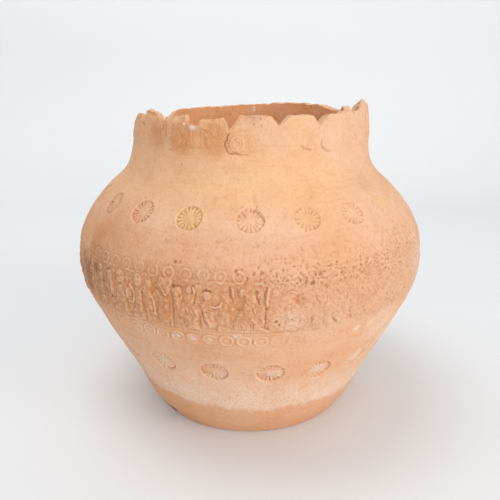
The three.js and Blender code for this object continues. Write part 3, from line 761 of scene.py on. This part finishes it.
def fracture_points(outer_radius, outer_height, inner_radius, inner_height):
    """Rows across the broken lip, rough like torn clay."""
    shares = np.array([0.12, 0.3, 0.5, 0.7, 0.88])[:, None]
    radius = outer_radius * (1 - shares) + inner_radius * shares
    height = outer_height * (1 - shares) + inner_height * shares
    grain = lattice_noise(1.3, 61, shares[:, 0] * 6) * 0.35 + lattice_noise(3, 62, shares[:, 0] * 6) * 0.35
    return radius, height + grain + 0.25 * np.sin(shares * math.pi)


def mark_masks(relief, marks):
    """Per-vertex marks for the clay's colour: raised, sunk, broken and pitted places. The raised mark is
    rubbed clay and painted light on the high edges of the relief, the sunk mark dirt and painted shade in its
    hollows.
    """
    height = relief.height
    blur = height.copy()
    for axis, reach in ((0, 9), (1, 9)):
        kernel = np.ones(reach) / reach
        blur = np.apply_along_axis(lambda line: np.convolve(line, kernel, "same"), axis, blur)
    moulded = rows_within(CARVED_BAND, 6, 6)
    right_share = np.interp(COLUMNS, [-180, 4, 20, 60, 110, 180], [1, 1, 0.6, 0.5, 0.7, 1])
    stamped = rows_within(STAMPED_BAND, 3, 3)
    upper = 0.35 * rows_within(ERODED_BAND, 5, 8)
    share = (0.45 + 0.55 * moulded + 0.1 * stamped) * np.minimum(right_share + upper, 1)
    # Relief above its blur gets rubbed clay and painted light on the raised edges; relief below it gets dirt
    # and painted shade in the hollows
    fine = np.clip((height - blur) / 0.5, -1, 1) * share
    pits = Relief()
    for azimuth, level, radius in marks:
        pits.dent(azimuth, level, radius * 1.3, 1.2)
    for points, width, _ in CRACKS:
        pits.groove(points, width * 1.3, 1.0, worn=False)
    return np.clip(fine, 0, 1), np.clip(-fine, 0, 1), np.clip(-pits.height, 0, 1)


def jar_mesh():
    """One closed skin: underside, outer wall, broken lip, inner wall and floor."""
    relief, marks = build_relief()
    outer_radius, outer_height, lip = outer_points(relief)
    slant = np.interp(COLUMNS, *np.array(BREAK_SLANT).T)
    inner_radius, inner_height = inner_points(lip - slant + 0.8 * lattice_noise(9, 71, np.array([0.4]))[0])
    outer_edge, inner_edge = (outer_radius[-1], outer_height[-1]), (inner_radius[0], inner_height[0])
    lip_radius, lip_height = fracture_points(*outer_edge, *inner_edge)
    base_radius, base_height = level_rings(BASE_RINGS)
    floor_radius, floor_height = level_rings(FLOOR_RINGS)
    radius = np.concatenate([base_radius, outer_radius, lip_radius, inner_radius, floor_radius])
    height = np.concatenate([base_height, outer_height, lip_height, inner_height, floor_height])
    turn = np.radians(COLUMNS)[None, :]
    points = np.stack([radius * np.sin(turn), -radius * np.cos(turn), height], axis=-1).reshape(-1, 3) * MM

    rows, columns = radius.shape
    index = np.arange(rows * columns).reshape(rows, columns)
    right = np.roll(index, -1, axis=1)
    quads = np.stack([index[:-1], right[:-1], right[1:], index[1:]], axis=-1).reshape(-1, 4)
    bottom, top = len(points), len(points) + 1
    points = np.concatenate([points, [[0, 0, BASE_RINGS[0][1] * MM], [0, 0, FLOOR_RINGS[-1][1] * MM]]])
    fans = np.concatenate([
        np.stack([right[0], index[0], np.full(columns, bottom)], axis=-1),
        np.stack([index[-1], right[-1], np.full(columns, top)], axis=-1),
    ])
    faces = quads.tolist() + fans.tolist()
    mesh = bpy.data.meshes.new("jar_clay")
    mesh.from_pydata(points.tolist(), [], faces)

    raised, sunk, pitted = (at_heights(mask, row_heights(lip)) for mask in mark_masks(relief, marks))
    colour = np.zeros((rows, columns, 4))
    outer = slice(len(base_radius), len(base_radius) + len(ROWS))
    # Red is painted light and rubbed clay on the raised relief, green is painted shade and dirt in its
    # hollows, blue is the pits
    colour[outer, :, :3] = np.stack([raised, sunk, pitted], axis=-1)
    lips = slice(outer.stop, outer.stop + len(lip_radius))
    colour[lips, :, 3] = 1.0
    colour = np.concatenate([colour.reshape(-1, 4), np.zeros((2, 4))])
    layer = mesh.attributes.new("clay_marks_and_shading", "FLOAT_COLOR", "POINT")
    layer.data.foreach_set("color", colour.astype(np.float32).ravel())
    inside = np.zeros((rows, columns), np.float32)
    inside[lips.stop:] = 1.0
    layer = mesh.attributes.new("inside", "FLOAT", "POINT")
    layer.data.foreach_set("value", np.concatenate([inside.ravel(), [0, 1]]).astype(np.float32))
    return mesh


MOST_TRIANGLES = 190000
SHARP_EDGE = 52


def thin_out(jar):
    """Merges triangles where the wall is plain, so that the detail stays where the carving is."""
    triangles = sum(len(face.vertices) - 2 for face in jar.data.polygons)
    thinner = jar.modifiers.new("thinner", "DECIMATE")
    thinner.ratio = MOST_TRIANGLES / triangles
    bpy.context.view_layer.update()
    evaluated = jar.evaluated_get(bpy.context.evaluated_depsgraph_get())
    fine = bpy.data.meshes.new_from_object(evaluated)
    jar.modifiers.clear()
    jar.data = fine
    jar.data.shade_smooth()
    jar.data.set_sharp_from_angle(angle=math.radians(SHARP_EDGE))


class Graph:
    """Short calls for adding nodes to a material or a group and joining them up."""

    def __init__(self, tree):
        self.tree = tree

    def node(self, kind, inputs, output=0, **settings):
        node = self.tree.nodes.new(kind)
        for name, value in settings.items():
            setattr(node, name, value)
        for name, value in inputs.items():
            if isinstance(value, bpy.types.NodeSocket):
                self.tree.links.new(value, node.inputs[name])
            else:
                node.inputs[name].default_value = value
        return node.outputs[output]

    def join(self, value, socket):
        self.tree.links.new(value, socket)

    def math(self, operation, first, second):
        return self.node("ShaderNodeMath", {0: first, 1: second}, operation=operation)

    def times(self, first, second):
        return self.math("MULTIPLY", first, second)

    def plus(self, first, second):
        return self.math("ADD", first, second)

    def minus(self, first, second):
        return self.math("SUBTRACT", first, second)

    def ramp(self, value, low, high):
        """0 at low, 1 at high, smooth between them."""
        inputs = {"Value": value, "From Min": low, "From Max": high}
        return self.node("ShaderNodeMapRange", inputs, interpolation_type="SMOOTHSTEP")

    def mix(self, mask, below, above):
        return self.node("ShaderNodeMix", {0: mask, 6: below, 7: above}, 2, data_type="RGBA")

    def group(self, effect, inputs):
        return self.node("ShaderNodeGroup", inputs, node_tree=effect)


def new_effect(name, inputs, output="Mask", output_type="NodeSocketFloat"):
    """An empty node group with named inputs and one output: its graph, its inputs and its end."""
    effect = bpy.data.node_groups.new(name, "ShaderNodeTree")
    for socket_name, socket_type in inputs:
        effect.interface.new_socket(name=socket_name, in_out="INPUT", socket_type=socket_type)
    effect.interface.new_socket(name=output, in_out="OUTPUT", socket_type=output_type)
    start = effect.nodes.new("NodeGroupInput")
    end = effect.nodes.new("NodeGroupOutput")
    return effect, Graph(effect), start.outputs, end.inputs[0]


FLOAT = "NodeSocketFloat"
VECTOR = "NodeSocketVector"
COLOUR = "NodeSocketColor"


def cloud_effect():
    """Soft clouds of one feature size in millimetres; Low and High set how much they cover."""
    names = [("Place", VECTOR)] + [(name, FLOAT) for name in ("Size", "Detail", "Seed", "Low", "High")]
    effect, graph, given, end = new_effect("cloud", names)
    scale = graph.math("DIVIDE", 1.0, given["Size"])
    inputs = {
        "Vector": given["Place"], "W": given["Seed"],
        "Scale": scale, "Detail": given["Detail"], "Roughness": 0.6,
    }
    noise = graph.node("ShaderNodeTexNoise", inputs, "Fac", noise_dimensions="4D")
    graph.join(graph.ramp(noise, given["Low"], given["High"]), end)
    return effect


def band_effect():
    """A band round the jar between two heights, with soft edges."""
    names = [("Height", FLOAT), ("Low", FLOAT), ("High", FLOAT), ("Softness", FLOAT)]
    effect, graph, given, end = new_effect("height_band", names)
    low_from = graph.minus(given["Low"], given["Softness"])
    low_to = graph.plus(given["Low"], given["Softness"])
    high_from = graph.plus(given["High"], given["Softness"])
    high_to = graph.minus(given["High"], given["Softness"])
    above = graph.ramp(given["Height"], low_from, low_to)
    below = graph.ramp(given["Height"], high_from, high_to)
    graph.join(graph.times(above, below), end)
    return effect


def patch_effect():
    """A ragged round patch about a point on the wall."""
    names = [("Place", VECTOR), ("Centre", VECTOR), ("Radius", FLOAT), ("Softness", FLOAT), ("Ragged", FLOAT)]
    effect, graph, given, end = new_effect("round_patch", names)
    ends = {0: given["Place"], 1: given["Centre"]}
    distance = graph.node("ShaderNodeVectorMath", ends, "Value", operation="DISTANCE")
    inputs = {"Vector": given["Place"], "Scale": 0.22, "Detail": 4.0, "Roughness": 0.65}
    noise = graph.node("ShaderNodeTexNoise", inputs, "Fac")
    shift = graph.times(graph.minus(noise, 0.5), given["Ragged"])
    share = graph.plus(graph.math("DIVIDE", distance, given["Radius"]), shift)
    inner = graph.minus(1.0, given["Softness"])
    graph.join(graph.ramp(share, 1.0, inner), end)
    return effect


def speckle_effect():
    """Small separate dots; Share is how many of the cells have one."""
    names = [("Place", VECTOR), ("Spacing", FLOAT), ("Size", FLOAT), ("Share", FLOAT)]
    effect, graph, given, end = new_effect("speckle", names)
    scale = graph.math("DIVIDE", 1.0, given["Spacing"])
    cells = graph.tree.nodes.new("ShaderNodeTexVoronoi")
    graph.join(given["Place"], cells.inputs["Vector"])
    graph.join(scale, cells.inputs["Scale"])
    chosen = graph.node("ShaderNodeSeparateColor", {0: cells.outputs["Color"]})
    size = graph.times(given["Size"], chosen)
    dot = graph.ramp(cells.outputs["Distance"], graph.plus(size, 0.08), size)
    drawn = graph.node("ShaderNodeSeparateColor", {0: cells.outputs["Color"]}, 1)
    few = graph.math("LESS_THAN", drawn, given["Share"])
    graph.join(graph.times(dot, few), end)
    return effect


def streak_effect():
    """Faint level streaks from the wheel and from wiping."""
    names = [("Place", VECTOR), ("Size", FLOAT), ("Low", FLOAT), ("High", FLOAT)]
    effect, graph, given, end = new_effect("wheel_streaks", names)
    stretch = {0: given["Place"], 1: (0.06, 0.06, 1.0)}
    stretched = graph.node("ShaderNodeVectorMath", stretch, operation="MULTIPLY")
    scale = graph.math("DIVIDE", 1.0, given["Size"])
    noise = graph.node("ShaderNodeTexNoise", {"Vector": stretched, "Scale": scale, "Detail": 3.0}, "Fac")
    graph.join(graph.ramp(noise, given["Low"], given["High"]), end)
    return effect


def relief_effect():
    """Painted shade and dirt in the hollows, and painted light with the paler clay of rubbed edges."""
    names = [
        ("Color", COLOUR), ("Dirt And Shade", COLOUR), ("Rubbed And Lit", COLOUR), ("Pit", COLOUR),
        ("Sunk", FLOAT), ("Raised", FLOAT), ("Pitted", FLOAT),
    ]
    effect, graph, given, end = new_effect("relief_wear_and_shade", names, "Color", COLOUR)
    dirty_and_shaded = graph.mix(given["Sunk"], given["Color"], given["Dirt And Shade"])
    rubbed = graph.mix(given["Raised"], dirty_and_shaded, given["Rubbed And Lit"])
    graph.join(graph.mix(given["Pitted"], rubbed, given["Pit"]), end)
    return effect


# Colours of the clay, as linear light
CLAY = (0.735, 0.405, 0.23, 1)
PINK_CLAY = (0.76, 0.475, 0.32, 1)
GOLDEN_CLAY = (0.77, 0.445, 0.235, 1)
ORANGE_CLAY = (0.57, 0.235, 0.085, 1)
BROWN_CLAY = (0.46, 0.215, 0.11, 1)
# A dark brown for painted shade in cuts, grooves and dents, and for dark spots of the clay
DEEP_SHADE_AND_DIRT = (0.25, 0.105, 0.05, 1)
# The paler of the next two colours is rubbed clay and painted light on raised relief; the darker is dirt and
# painted shade in its hollows
RUBBED_AND_LIT_CLAY = (0.81, 0.53, 0.345, 1)
HOLLOW_DIRT_AND_SHADE = (0.47, 0.19, 0.075, 1)
PIT_BROWN = (0.50, 0.215, 0.095, 1)
CRUST_YELLOW = (0.75, 0.465, 0.21, 1)
LIME_BLOOM = (0.81, 0.65, 0.54, 1)
WHITE_LIME = (0.84, 0.76, 0.68, 1)
# The inner clay's fresh orange, brightened as painted light for the light bounced about inside the mouth
LIT_INNER_CLAY = (0.89, 0.43, 0.195, 1)
FRACTURE_CLAY = (0.74, 0.46, 0.28, 1)
GREY_CRUST = (0.42, 0.25, 0.15, 1)
CHIP_RED = (0.10, 0.025, 0.02, 1)

# Patches of colour on the wall, in the order they lie on it: azimuth, height, radius, softness, strength
PATCHES = [
    (ORANGE_CLAY, [(-48, 178, 46, 1.0, 0.45)]),
    (PINK_CLAY, [(62, 150, 95, 1.0, 0.6), (60, 245, 62, 1.0, 0.6), (50, 25, 60, 1.0, 0.5)]),
    (ORANGE_CLAY, [(-22, 141, 38, 0.9, 0.85), (-15, 105, 40, 1.0, 0.35)]),
    (GOLDEN_CLAY, [(-52, 232, 40, 1.0, 0.3)]),
    (BROWN_CLAY, [(-50, 142, 36, 0.9, 0.95)]),
    (ORANGE_CLAY, [
        (-4, 145, 26, 0.9, 0.75), (-38, 132, 12, 0.9, 0.5), (-28, 130, 8, 0.9, 0.5), (2, 152, 8, 0.8, 0.6),
        (13, 144.5, 6, 0.6, 0.8), (-25, 149, 9, 0.8, 0.6), (-19, 154, 7, 0.8, 0.5), (-52, 170, 20, 0.9, 0.8),
        (-35, 150, 8, 0.8, 0.45), (24, 129, 6, 0.7, 0.5), (-15, 246, 17, 0.6, 0.7), (-30, 247, 17, 0.6, 0.85),
        (-45, 248, 17, 0.8, 0.7),
    ]),
    (PINK_CLAY, [
        (10, 245, 20, 0.9, 0.35), (30, 246, 24, 0.9, 0.5), (52, 258, 12, 0.9, 0.6), (40, 240, 26, 0.9, 0.5),
    ]),
    (CRUST_YELLOW, [
        (-19.5, 195, 11, 0.25, 0.75), (0.9, 205, 5, 0.8, 0.55), (0.3, 210, 4.5, 0.8, 0.6),
        (0.0, 216, 4.5, 0.8, 0.5), (-17.5, 212, 8, 0.9, 0.4), (20, 206, 26, 1.0, 0.35),
        (54, 197, 9, 0.6, 0.7), (35.6, 195, 9, 0.7, 0.5), (18.2, 195, 10, 0.5, 0.45),
    ]),
    (PINK_CLAY, [(40, 185, 40, 1.0, 0.6), (48, 205, 14, 0.9, 0.5)]),
    (LIME_BLOOM, [
        (65, 150, 26, 0.9, 0.6), (45, 105, 26, 1.0, 0.45), (58, 85, 34, 1.0, 0.6), (-50, 78, 26, 1.0, 0.5),
        (-31.1, 78, 10, 0.5, 0.4), (-11, 75, 9, 0.7, 0.4), (8.5, 77, 9, 0.7, 0.55), (24, 76, 9, 0.7, 0.45),
        (41.1, 76, 14, 0.9, 0.5),
    ]),
    (WHITE_LIME, [(-3.8, 117, 2.6, 0.9, 0.8), (-2.6, 117.6, 2.0, 0.9, 0.7)]),
    (LIME_BLOOM, [
        (-21.3, 112.8, 4.5, 0.6, 0.5), (-16.2, 112.8, 4.5, 0.6, 0.6), (-11.3, 112.8, 4.5, 0.6, 0.5),
        (11, 128, 13, 1.0, 0.35), (24, 128, 9, 1.0, 0.35), (33, 112.8, 5, 0.8, 0.7), (38, 113, 5, 0.8, 0.8),
    ]),
    (GREY_CRUST, [
        (-50, 262.5, 5, 0.8, 0.45), (-35.5, 261.5, 4, 0.8, 0.6), (-31.5, 262, 3.5, 0.8, 0.6),
        (1.5, 260, 8, 0.9, 0.5),
    ]),
    (WHITE_LIME, [(-28.9, 256, 1.3, 0.5, 1.0), (-25, 254.5, 4, 0.8, 0.6)]),
]

# Two white specks inside the back of the lip, and a chip on the foot as azimuth and height
INNER_SPECKS = [(3.8, 92.6, 258.0), (3.8, 92.6, 254.8)]
SPECK_RADIUS = 1.7
FOOT_CHIP = (-48, 6.0)
CHIP_RADIUS = 5.5

# Stains that soak the frieze through its mottling: azimuth, height, radius, strength, colour
SOAKED_STAINS = [
    (-28, 141, 56, 0.3, ORANGE_CLAY),
    (-54, 140, 44, 0.45, BROWN_CLAY),
    (0, 148, 26, 0.3, ORANGE_CLAY),
    (-19, 150, 16, 0.3, ORANGE_CLAY),
]

# Dark marks in the frieze and on the wall. Most are painted shade in the V-cut at -57.4, in the grooves
# between the left figures and in the dents and cuts of the frieze; the rest are dark spots of the clay.
# Columns: azimuth, height, radius, strength
DARK_MARKS = [
    (-57.4, 255, 3.0, 1.0), (-57.0, 252.5, 2.0, 1.0), (-51.5, 149.6, 6, 0.75), (-58, 143, 12, 0.6),
    (-62, 150.5, 8, 0.6), (-57, 131, 10, 0.55), (-55.4, 151, 4.5, 0.5), (-66, 139, 11, 0.5),
    (-64, 127, 6, 0.35), (-69, 147, 9, 0.4), (-50, 131, 5, 0.5), (-47, 143, 3, 0.6), (-45, 148, 2.2, 0.7),
    (-45.6, 136, 2.4, 0.7), (-44.8, 153, 1.6, 0.6), (-42.6, 139, 1.4, 0.8), (-43, 132.5, 1.5, 0.6),
    (-41, 148, 1.6, 0.6), (-31, 148, 1.2, 0.5), (-29.3, 133, 1.4, 0.5), (-25.8, 149, 1.3, 0.6),
    (-20.6, 152.4, 1.9, 0.8), (-18.6, 152.6, 1.3, 0.7), (-20.4, 168.6, 1.8, 0.8), (-19, 168.8, 1.2, 0.7),
    (-15, 153.5, 1.2, 0.8), (-11.4, 151.6, 1.9, 0.8), (-10.4, 151, 1.4, 0.8), (1.6, 151.6, 1.5, 0.8),
    (2.4, 147, 1.3, 0.6), (4.3, 139, 1.4, 0.7), (4, 132, 1.3, 0.5), (6.6, 129.6, 1.1, 1.0),
    (7.6, 127, 1.0, 0.9), (10.8, 130.6, 0.9, 0.8), (12.4, 147.5, 1.4, 0.5), (16.6, 156.2, 2.2, 0.7),
    (14.6, 156.4, 1.5, 0.6), (20.2, 153, 1.3, 0.6), (26, 156.2, 1.6, 0.5), (31.5, 158, 1.5, 0.5),
    (18.7, 161.5, 2.1, 0.6), (23.6, 148, 1.4, 0.6), (4.3, 260.5, 1.2, 0.9), (1.5, 256.5, 1.1, 0.8),
    (-6.5, 257, 1.2, 0.7), (66, 257, 2.4, 0.5), (56.5, 265.5, 3.2, 0.7), (58.5, 268.5, 2.6, 0.6),
    (-52, 60, 2.5, 0.5),
]


def wall_place(azimuth, height):
    radius = float(wall_radius(np.array(float(height))))
    turn = math.radians(azimuth)
    return (radius * math.sin(turn), -radius * math.cos(turn), height)


def clay_material():
    """Fired clay: fields of colour, stains, mottling, bloom, worn relief with painted light and shade on it,
    and specks, in that order.
    """
    material = bpy.data.materials.new("terracotta")
    material.use_nodes = True
    graph = Graph(material.node_tree)
    cloud, band, patch = cloud_effect(), band_effect(), patch_effect()
    speckle, streak, wear = speckle_effect(), streak_effect(), relief_effect()

    metres = graph.node("ShaderNodeTexCoord", {}, "Object")
    place = graph.node("ShaderNodeVectorMath", {0: metres, "Scale": 1000.0}, operation="SCALE")
    height = graph.node("ShaderNodeSeparateXYZ", {0: place}, "Z")
    marks = graph.node("ShaderNodeAttribute", {}, "Color", attribute_name="clay_marks_and_shading")
    broken = graph.node("ShaderNodeAttribute", {}, "Alpha", attribute_name="clay_marks_and_shading")
    inside = graph.node("ShaderNodeAttribute", {}, "Fac", attribute_name="inside")
    raised, sunk, pitted = (graph.node("ShaderNodeSeparateColor", {0: marks}, index) for index in range(3))

    def clouds(size, seed, low, high, detail=3.0):
        inputs = {"Place": place, "Size": size, "Detail": detail, "Seed": seed, "Low": low, "High": high}
        return graph.group(cloud, inputs)

    def level_band(level, low, high, softness):
        return graph.group(band, {"Height": level, "Low": low, "High": high, "Softness": softness})

    def specks(spacing, size, amount):
        return graph.group(speckle, {"Place": place, "Spacing": spacing, "Size": size, "Share": amount})

    def patch_at(centre, radius, softness, ragged=0.9):
        inputs = {"Place": place, "Centre": centre, "Radius": radius, "Softness": softness, "Ragged": ragged}
        return graph.group(patch, inputs)

    def tinted(base, layers):
        """Lays tints over a colour, each by its mask and its strength."""
        for mask, strength, tint in layers:
            base = graph.mix(graph.times(mask, strength), base, tint)
        return base

    wander = graph.times(graph.minus(clouds(30, 4, 0.2, 0.8), 0.5), 12.0)
    wavy_height = graph.plus(height, wander)

    # Broad fields of colour, from the neck down to the foot, and the flaked clay under the lip
    colour = graph.mix(clouds(70, 1, 0.35, 0.65), CLAY, PINK_CLAY)
    colour = tinted(colour, [
        (level_band(wavy_height, 196, 300, 16), 0.7, GOLDEN_CLAY),
        (level_band(wavy_height, 120, 186, 8), 0.35, ORANGE_CLAY),
        (level_band(wavy_height, 70, 118, 6), 0.15, ORANGE_CLAY),
        (graph.times(level_band(height, 233, 262, 3), clouds(5, 17, 0.3, 0.6)), 0.14, ORANGE_CLAY),
    ])

    # The inside keeps its fresh orange, made brighter and deeper than the outer clay as painted light for the
    # light bounced about inside the mouth, and the break shows torn clay
    colour = tinted(colour, [(inside, 0.8, LIT_INNER_CLAY), (broken, 0.8, FRACTURE_CLAY)])

    # Stains and crusts
    for tint, spots in PATCHES:
        colour = tinted(colour, [
            (patch_at(wall_place(azimuth, level), radius, softness), strength, tint)
            for azimuth, level, radius, softness, strength in spots
        ])

    # Mottling from broad clouds to fine grain, streaks from the wheel and stains that soak the frieze
    moulded = level_band(wavy_height, 121, 164, 3)
    colour = tinted(colour, [
        (clouds(16, 2, 0.45, 0.75), 0.3, ORANGE_CLAY),
        (clouds(9, 3, 0.5, 0.75), 0.3, PINK_CLAY),
        (clouds(2.6, 5, 0.45, 0.75), 0.3, ORANGE_CLAY),
        (clouds(1.2, 6, 0.45, 0.68, 4.0), 0.26, RUBBED_AND_LIT_CLAY),
        (graph.times(moulded, clouds(1.9, 14, 0.46, 0.66, 4.0)), 0.5, HOLLOW_DIRT_AND_SHADE),
        (graph.times(moulded, clouds(2.2, 15, 0.5, 0.68, 4.0)), 0.25, RUBBED_AND_LIT_CLAY),
        (graph.group(streak, {"Place": place, "Size": 2.2, "Low": 0.52, "High": 0.75}), 0.22, ORANGE_CLAY),
    ])
    soaking = graph.plus(graph.times(moulded, 0.75), 0.25)
    colour = tinted(colour, [
        (graph.times(patch_at(wall_place(azimuth, level), radius, 0.9), soaking), strength, tint)
        for azimuth, level, radius, strength, tint in SOAKED_STAINS
    ])

    # Lime bloom over the lower wall, higher at the left, and a clean foot under it
    ripple = graph.times(graph.minus(clouds(7, 16, 0.2, 0.8), 0.5), 6.0)
    across = graph.node("ShaderNodeSeparateXYZ", {0: place}, "X")
    ripple = graph.plus(ripple, graph.math("MINIMUM", graph.times(across, 0.06), 0.0))
    tide = graph.plus(graph.plus(height, graph.times(wander, 0.35)), ripple)
    bloom = graph.minus(graph.ramp(tide, 29.0, 36.0), graph.times(graph.ramp(wavy_height, 40.0, 80.0), 0.97))
    bloom = graph.times(bloom, clouds(14, 8, 0.15, 0.65, 6.0))
    bloom = graph.times(bloom, graph.minus(1.0, inside))
    dusty = graph.times(bloom, clouds(1.6, 13, 0.45, 0.6, 5.0))
    foot = graph.minus(1.0, graph.ramp(tide, 28.0, 35.0))
    colour = tinted(colour, [(bloom, 0.3, LIME_BLOOM), (dusty, 0.8, LIME_BLOOM), (foot, 0.3, ORANGE_CLAY)])

    # What lies in the hollows and on the edges of the relief: dirt and painted shade in the hollows, rubbed
    # clay and painted light on the edges, and the dark marks, mostly painted shade
    inputs = {
        "Color": colour, "Dirt And Shade": HOLLOW_DIRT_AND_SHADE, "Rubbed And Lit": RUBBED_AND_LIT_CLAY, "Pit": PIT_BROWN,
        "Sunk": graph.times(sunk, 0.75), "Raised": graph.times(raised, 0.6),
        "Pitted": graph.times(pitted, 0.6),
    }
    colour = graph.group(wear, inputs)
    # The dark marks, mostly painted shade in the cuts, grooves and dents of the relief
    colour = tinted(colour, [
        (patch_at(wall_place(azimuth, level), radius, 0.7, 1.0), 0.9 * strength, DEEP_SHADE_AND_DIRT)
        for azimuth, level, radius, strength in DARK_MARKS
    ])

    # Two white specks inside the back of the lip, and a dark red chip on the edge of the foot
    for speck in INNER_SPECKS:
        colour = graph.mix(patch_at(speck, SPECK_RADIUS, 0.6, 0.3), colour, WHITE_LIME)
    colour = graph.mix(patch_at(wall_place(*FOOT_CHIP), CHIP_RADIUS, 0.4, 0.8), colour, CHIP_RED)

    # Specks lie over all of it
    colour = tinted(colour, [
        (specks(5.0, 0.16, 0.3), 0.5, BROWN_CLAY), (specks(2.4, 0.24, 0.25), 0.4, ORANGE_CLAY),
    ])

    grain = graph.plus(clouds(1.1, 9, 0.2, 0.8, 4.0), graph.times(clouds(3.5, 10, 0.3, 0.7, 3.0), 1.5))
    grain = graph.times(grain, graph.plus(graph.times(moulded, 0.6), 0.4))
    bump = graph.node("ShaderNodeBump", {"Height": grain, "Strength": 0.6, "Distance": 0.0006})
    rough = graph.minus(0.94, graph.times(clouds(12, 7, 0.3, 0.7), 0.1))
    shader = material.node_tree.nodes["Principled BSDF"]
    for name, value in (("Base Color", colour), ("Roughness", rough), ("Normal", bump)):
        graph.join(value, shader.inputs[name])
    shader.inputs["Specular IOR Level"].default_value = 0.3
    return material


def make_jar():
    jar = bpy.data.objects.new("jar_clay", jar_mesh())
    bpy.context.scene.collection.objects.link(jar)
    thin_out(jar)
    jar.data.materials.clear()
    jar.data.materials.append(clay_material())
    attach(jar, "root")
    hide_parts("jar")


# The camera stands close, just above the lip, and looks down at the belly
CAMERA_DISTANCE = 503.0
CAMERA_HEIGHT = 291.0
CAMERA_TILT = 17.3
FOCAL_PIXELS = 569.0
IMAGE_PIXELS = 500.0
CENTRE_PIXEL = 250.3


def make_camera():
    data = bpy.data.cameras.new("camera")
    data.sensor_width = 36.0
    data.sensor_fit = "HORIZONTAL"
    data.lens = FOCAL_PIXELS / IMAGE_PIXELS * data.sensor_width
    data.shift_x = -(CENTRE_PIXEL - IMAGE_PIXELS / 2) / IMAGE_PIXELS
    camera = bpy.data.objects.new("camera", data)
    camera.location = (0, -CAMERA_DISTANCE * MM, CAMERA_HEIGHT * MM)
    camera.rotation_euler = (math.radians(90 - CAMERA_TILT), 0, 0)
    bpy.context.scene.collection.objects.link(camera)
    bpy.context.scene.camera = camera


def stage_material(name, colour):
    material = bpy.data.materials.new(name)
    material.use_nodes = True
    graph = Graph(material.node_tree)
    metres = graph.node("ShaderNodeTexCoord", {}, "Object")
    cloud = graph.node("ShaderNodeTexNoise", {"Vector": metres, "Scale": 3.0, "Detail": 2.0}, "Fac")
    darker = tuple(0.985 * value for value in colour[:3]) + (1,)
    shader = material.node_tree.nodes["Principled BSDF"]
    graph.join(graph.mix(cloud, colour, darker), shader.inputs["Base Color"])
    shader.inputs["Roughness"].default_value = 0.7
    return material


def make_stage():
    """A pale floor that curves up into a pale backdrop."""
    half_width = 3.0
    corner, curve = 1.1, 0.35
    turns = np.linspace(0, math.pi / 2, 13)
    bend = [(corner - curve * (1 - math.sin(t)), curve * (1 - math.cos(t))) for t in turns]
    profile = [(-3.0, 0.0)] + bend + [(corner, 2.6)]
    points = [(x, y, z) for y, z in profile for x in (-half_width, half_width)]
    faces = [(2 * i, 2 * i + 1, 2 * i + 3, 2 * i + 2) for i in range(len(profile) - 1)]
    mesh = bpy.data.meshes.new("backdrop")
    mesh.from_pydata(points, [], faces)
    mesh.shade_smooth()
    mesh.materials.append(stage_material("pale_floor", (0.79, 0.808, 0.82, 1)))
    backdrop = bpy.data.objects.new("backdrop", mesh)
    bpy.context.scene.collection.objects.link(backdrop)


def make_light(name, place, aim_at, size, power, colour):
    data = bpy.data.lights.new(name, "AREA")
    data.shape = "SQUARE"
    data.size = size
    data.energy = power
    data.color = colour
    light = bpy.data.objects.new(name, data)
    light.location = place
    aim = np.array(aim_at) - np.array(place)
    flat = math.hypot(aim[0], aim[1])
    light.rotation_euler = (math.atan2(flat, -aim[2]), 0, math.atan2(aim[1], aim[0]) - math.pi / 2)
    bpy.context.scene.collection.objects.link(light)


def make_lights():
    jar_middle = (0, 0, 0.13)
    make_light("key", (1.8, -1.2, 0.9), jar_middle, 1.1, 15.2, (1.0, 0.985, 0.97))
    make_light("front_high", (-0.05, -1.6, 0.9), jar_middle, 0.9, 4.0, (1.0, 1.0, 1.0))
    make_light("front_low", (0.6, -1.45, 0.28), jar_middle, 0.8, 7.2, (1.0, 1.0, 1.0))
    make_light("wall_wash", (-0.5, 0.1, 1.9), (-0.3, 1.1, 0.6), 1.2, 14.5, (1.0, 1.0, 1.0))
    world = bpy.data.worlds.new("world")
    world.use_nodes = True
    world.node_tree.nodes["Background"].inputs["Color"].default_value = (0.99, 0.99, 1.0, 1)
    world.node_tree.nodes["Background"].inputs["Strength"].default_value = 0.53
    bpy.context.scene.world = world
    bpy.context.scene.view_settings.view_transform = "Standard"


make_jar()
make_stage()
make_lights()
make_camera()

bpy.context.view_layer.update()
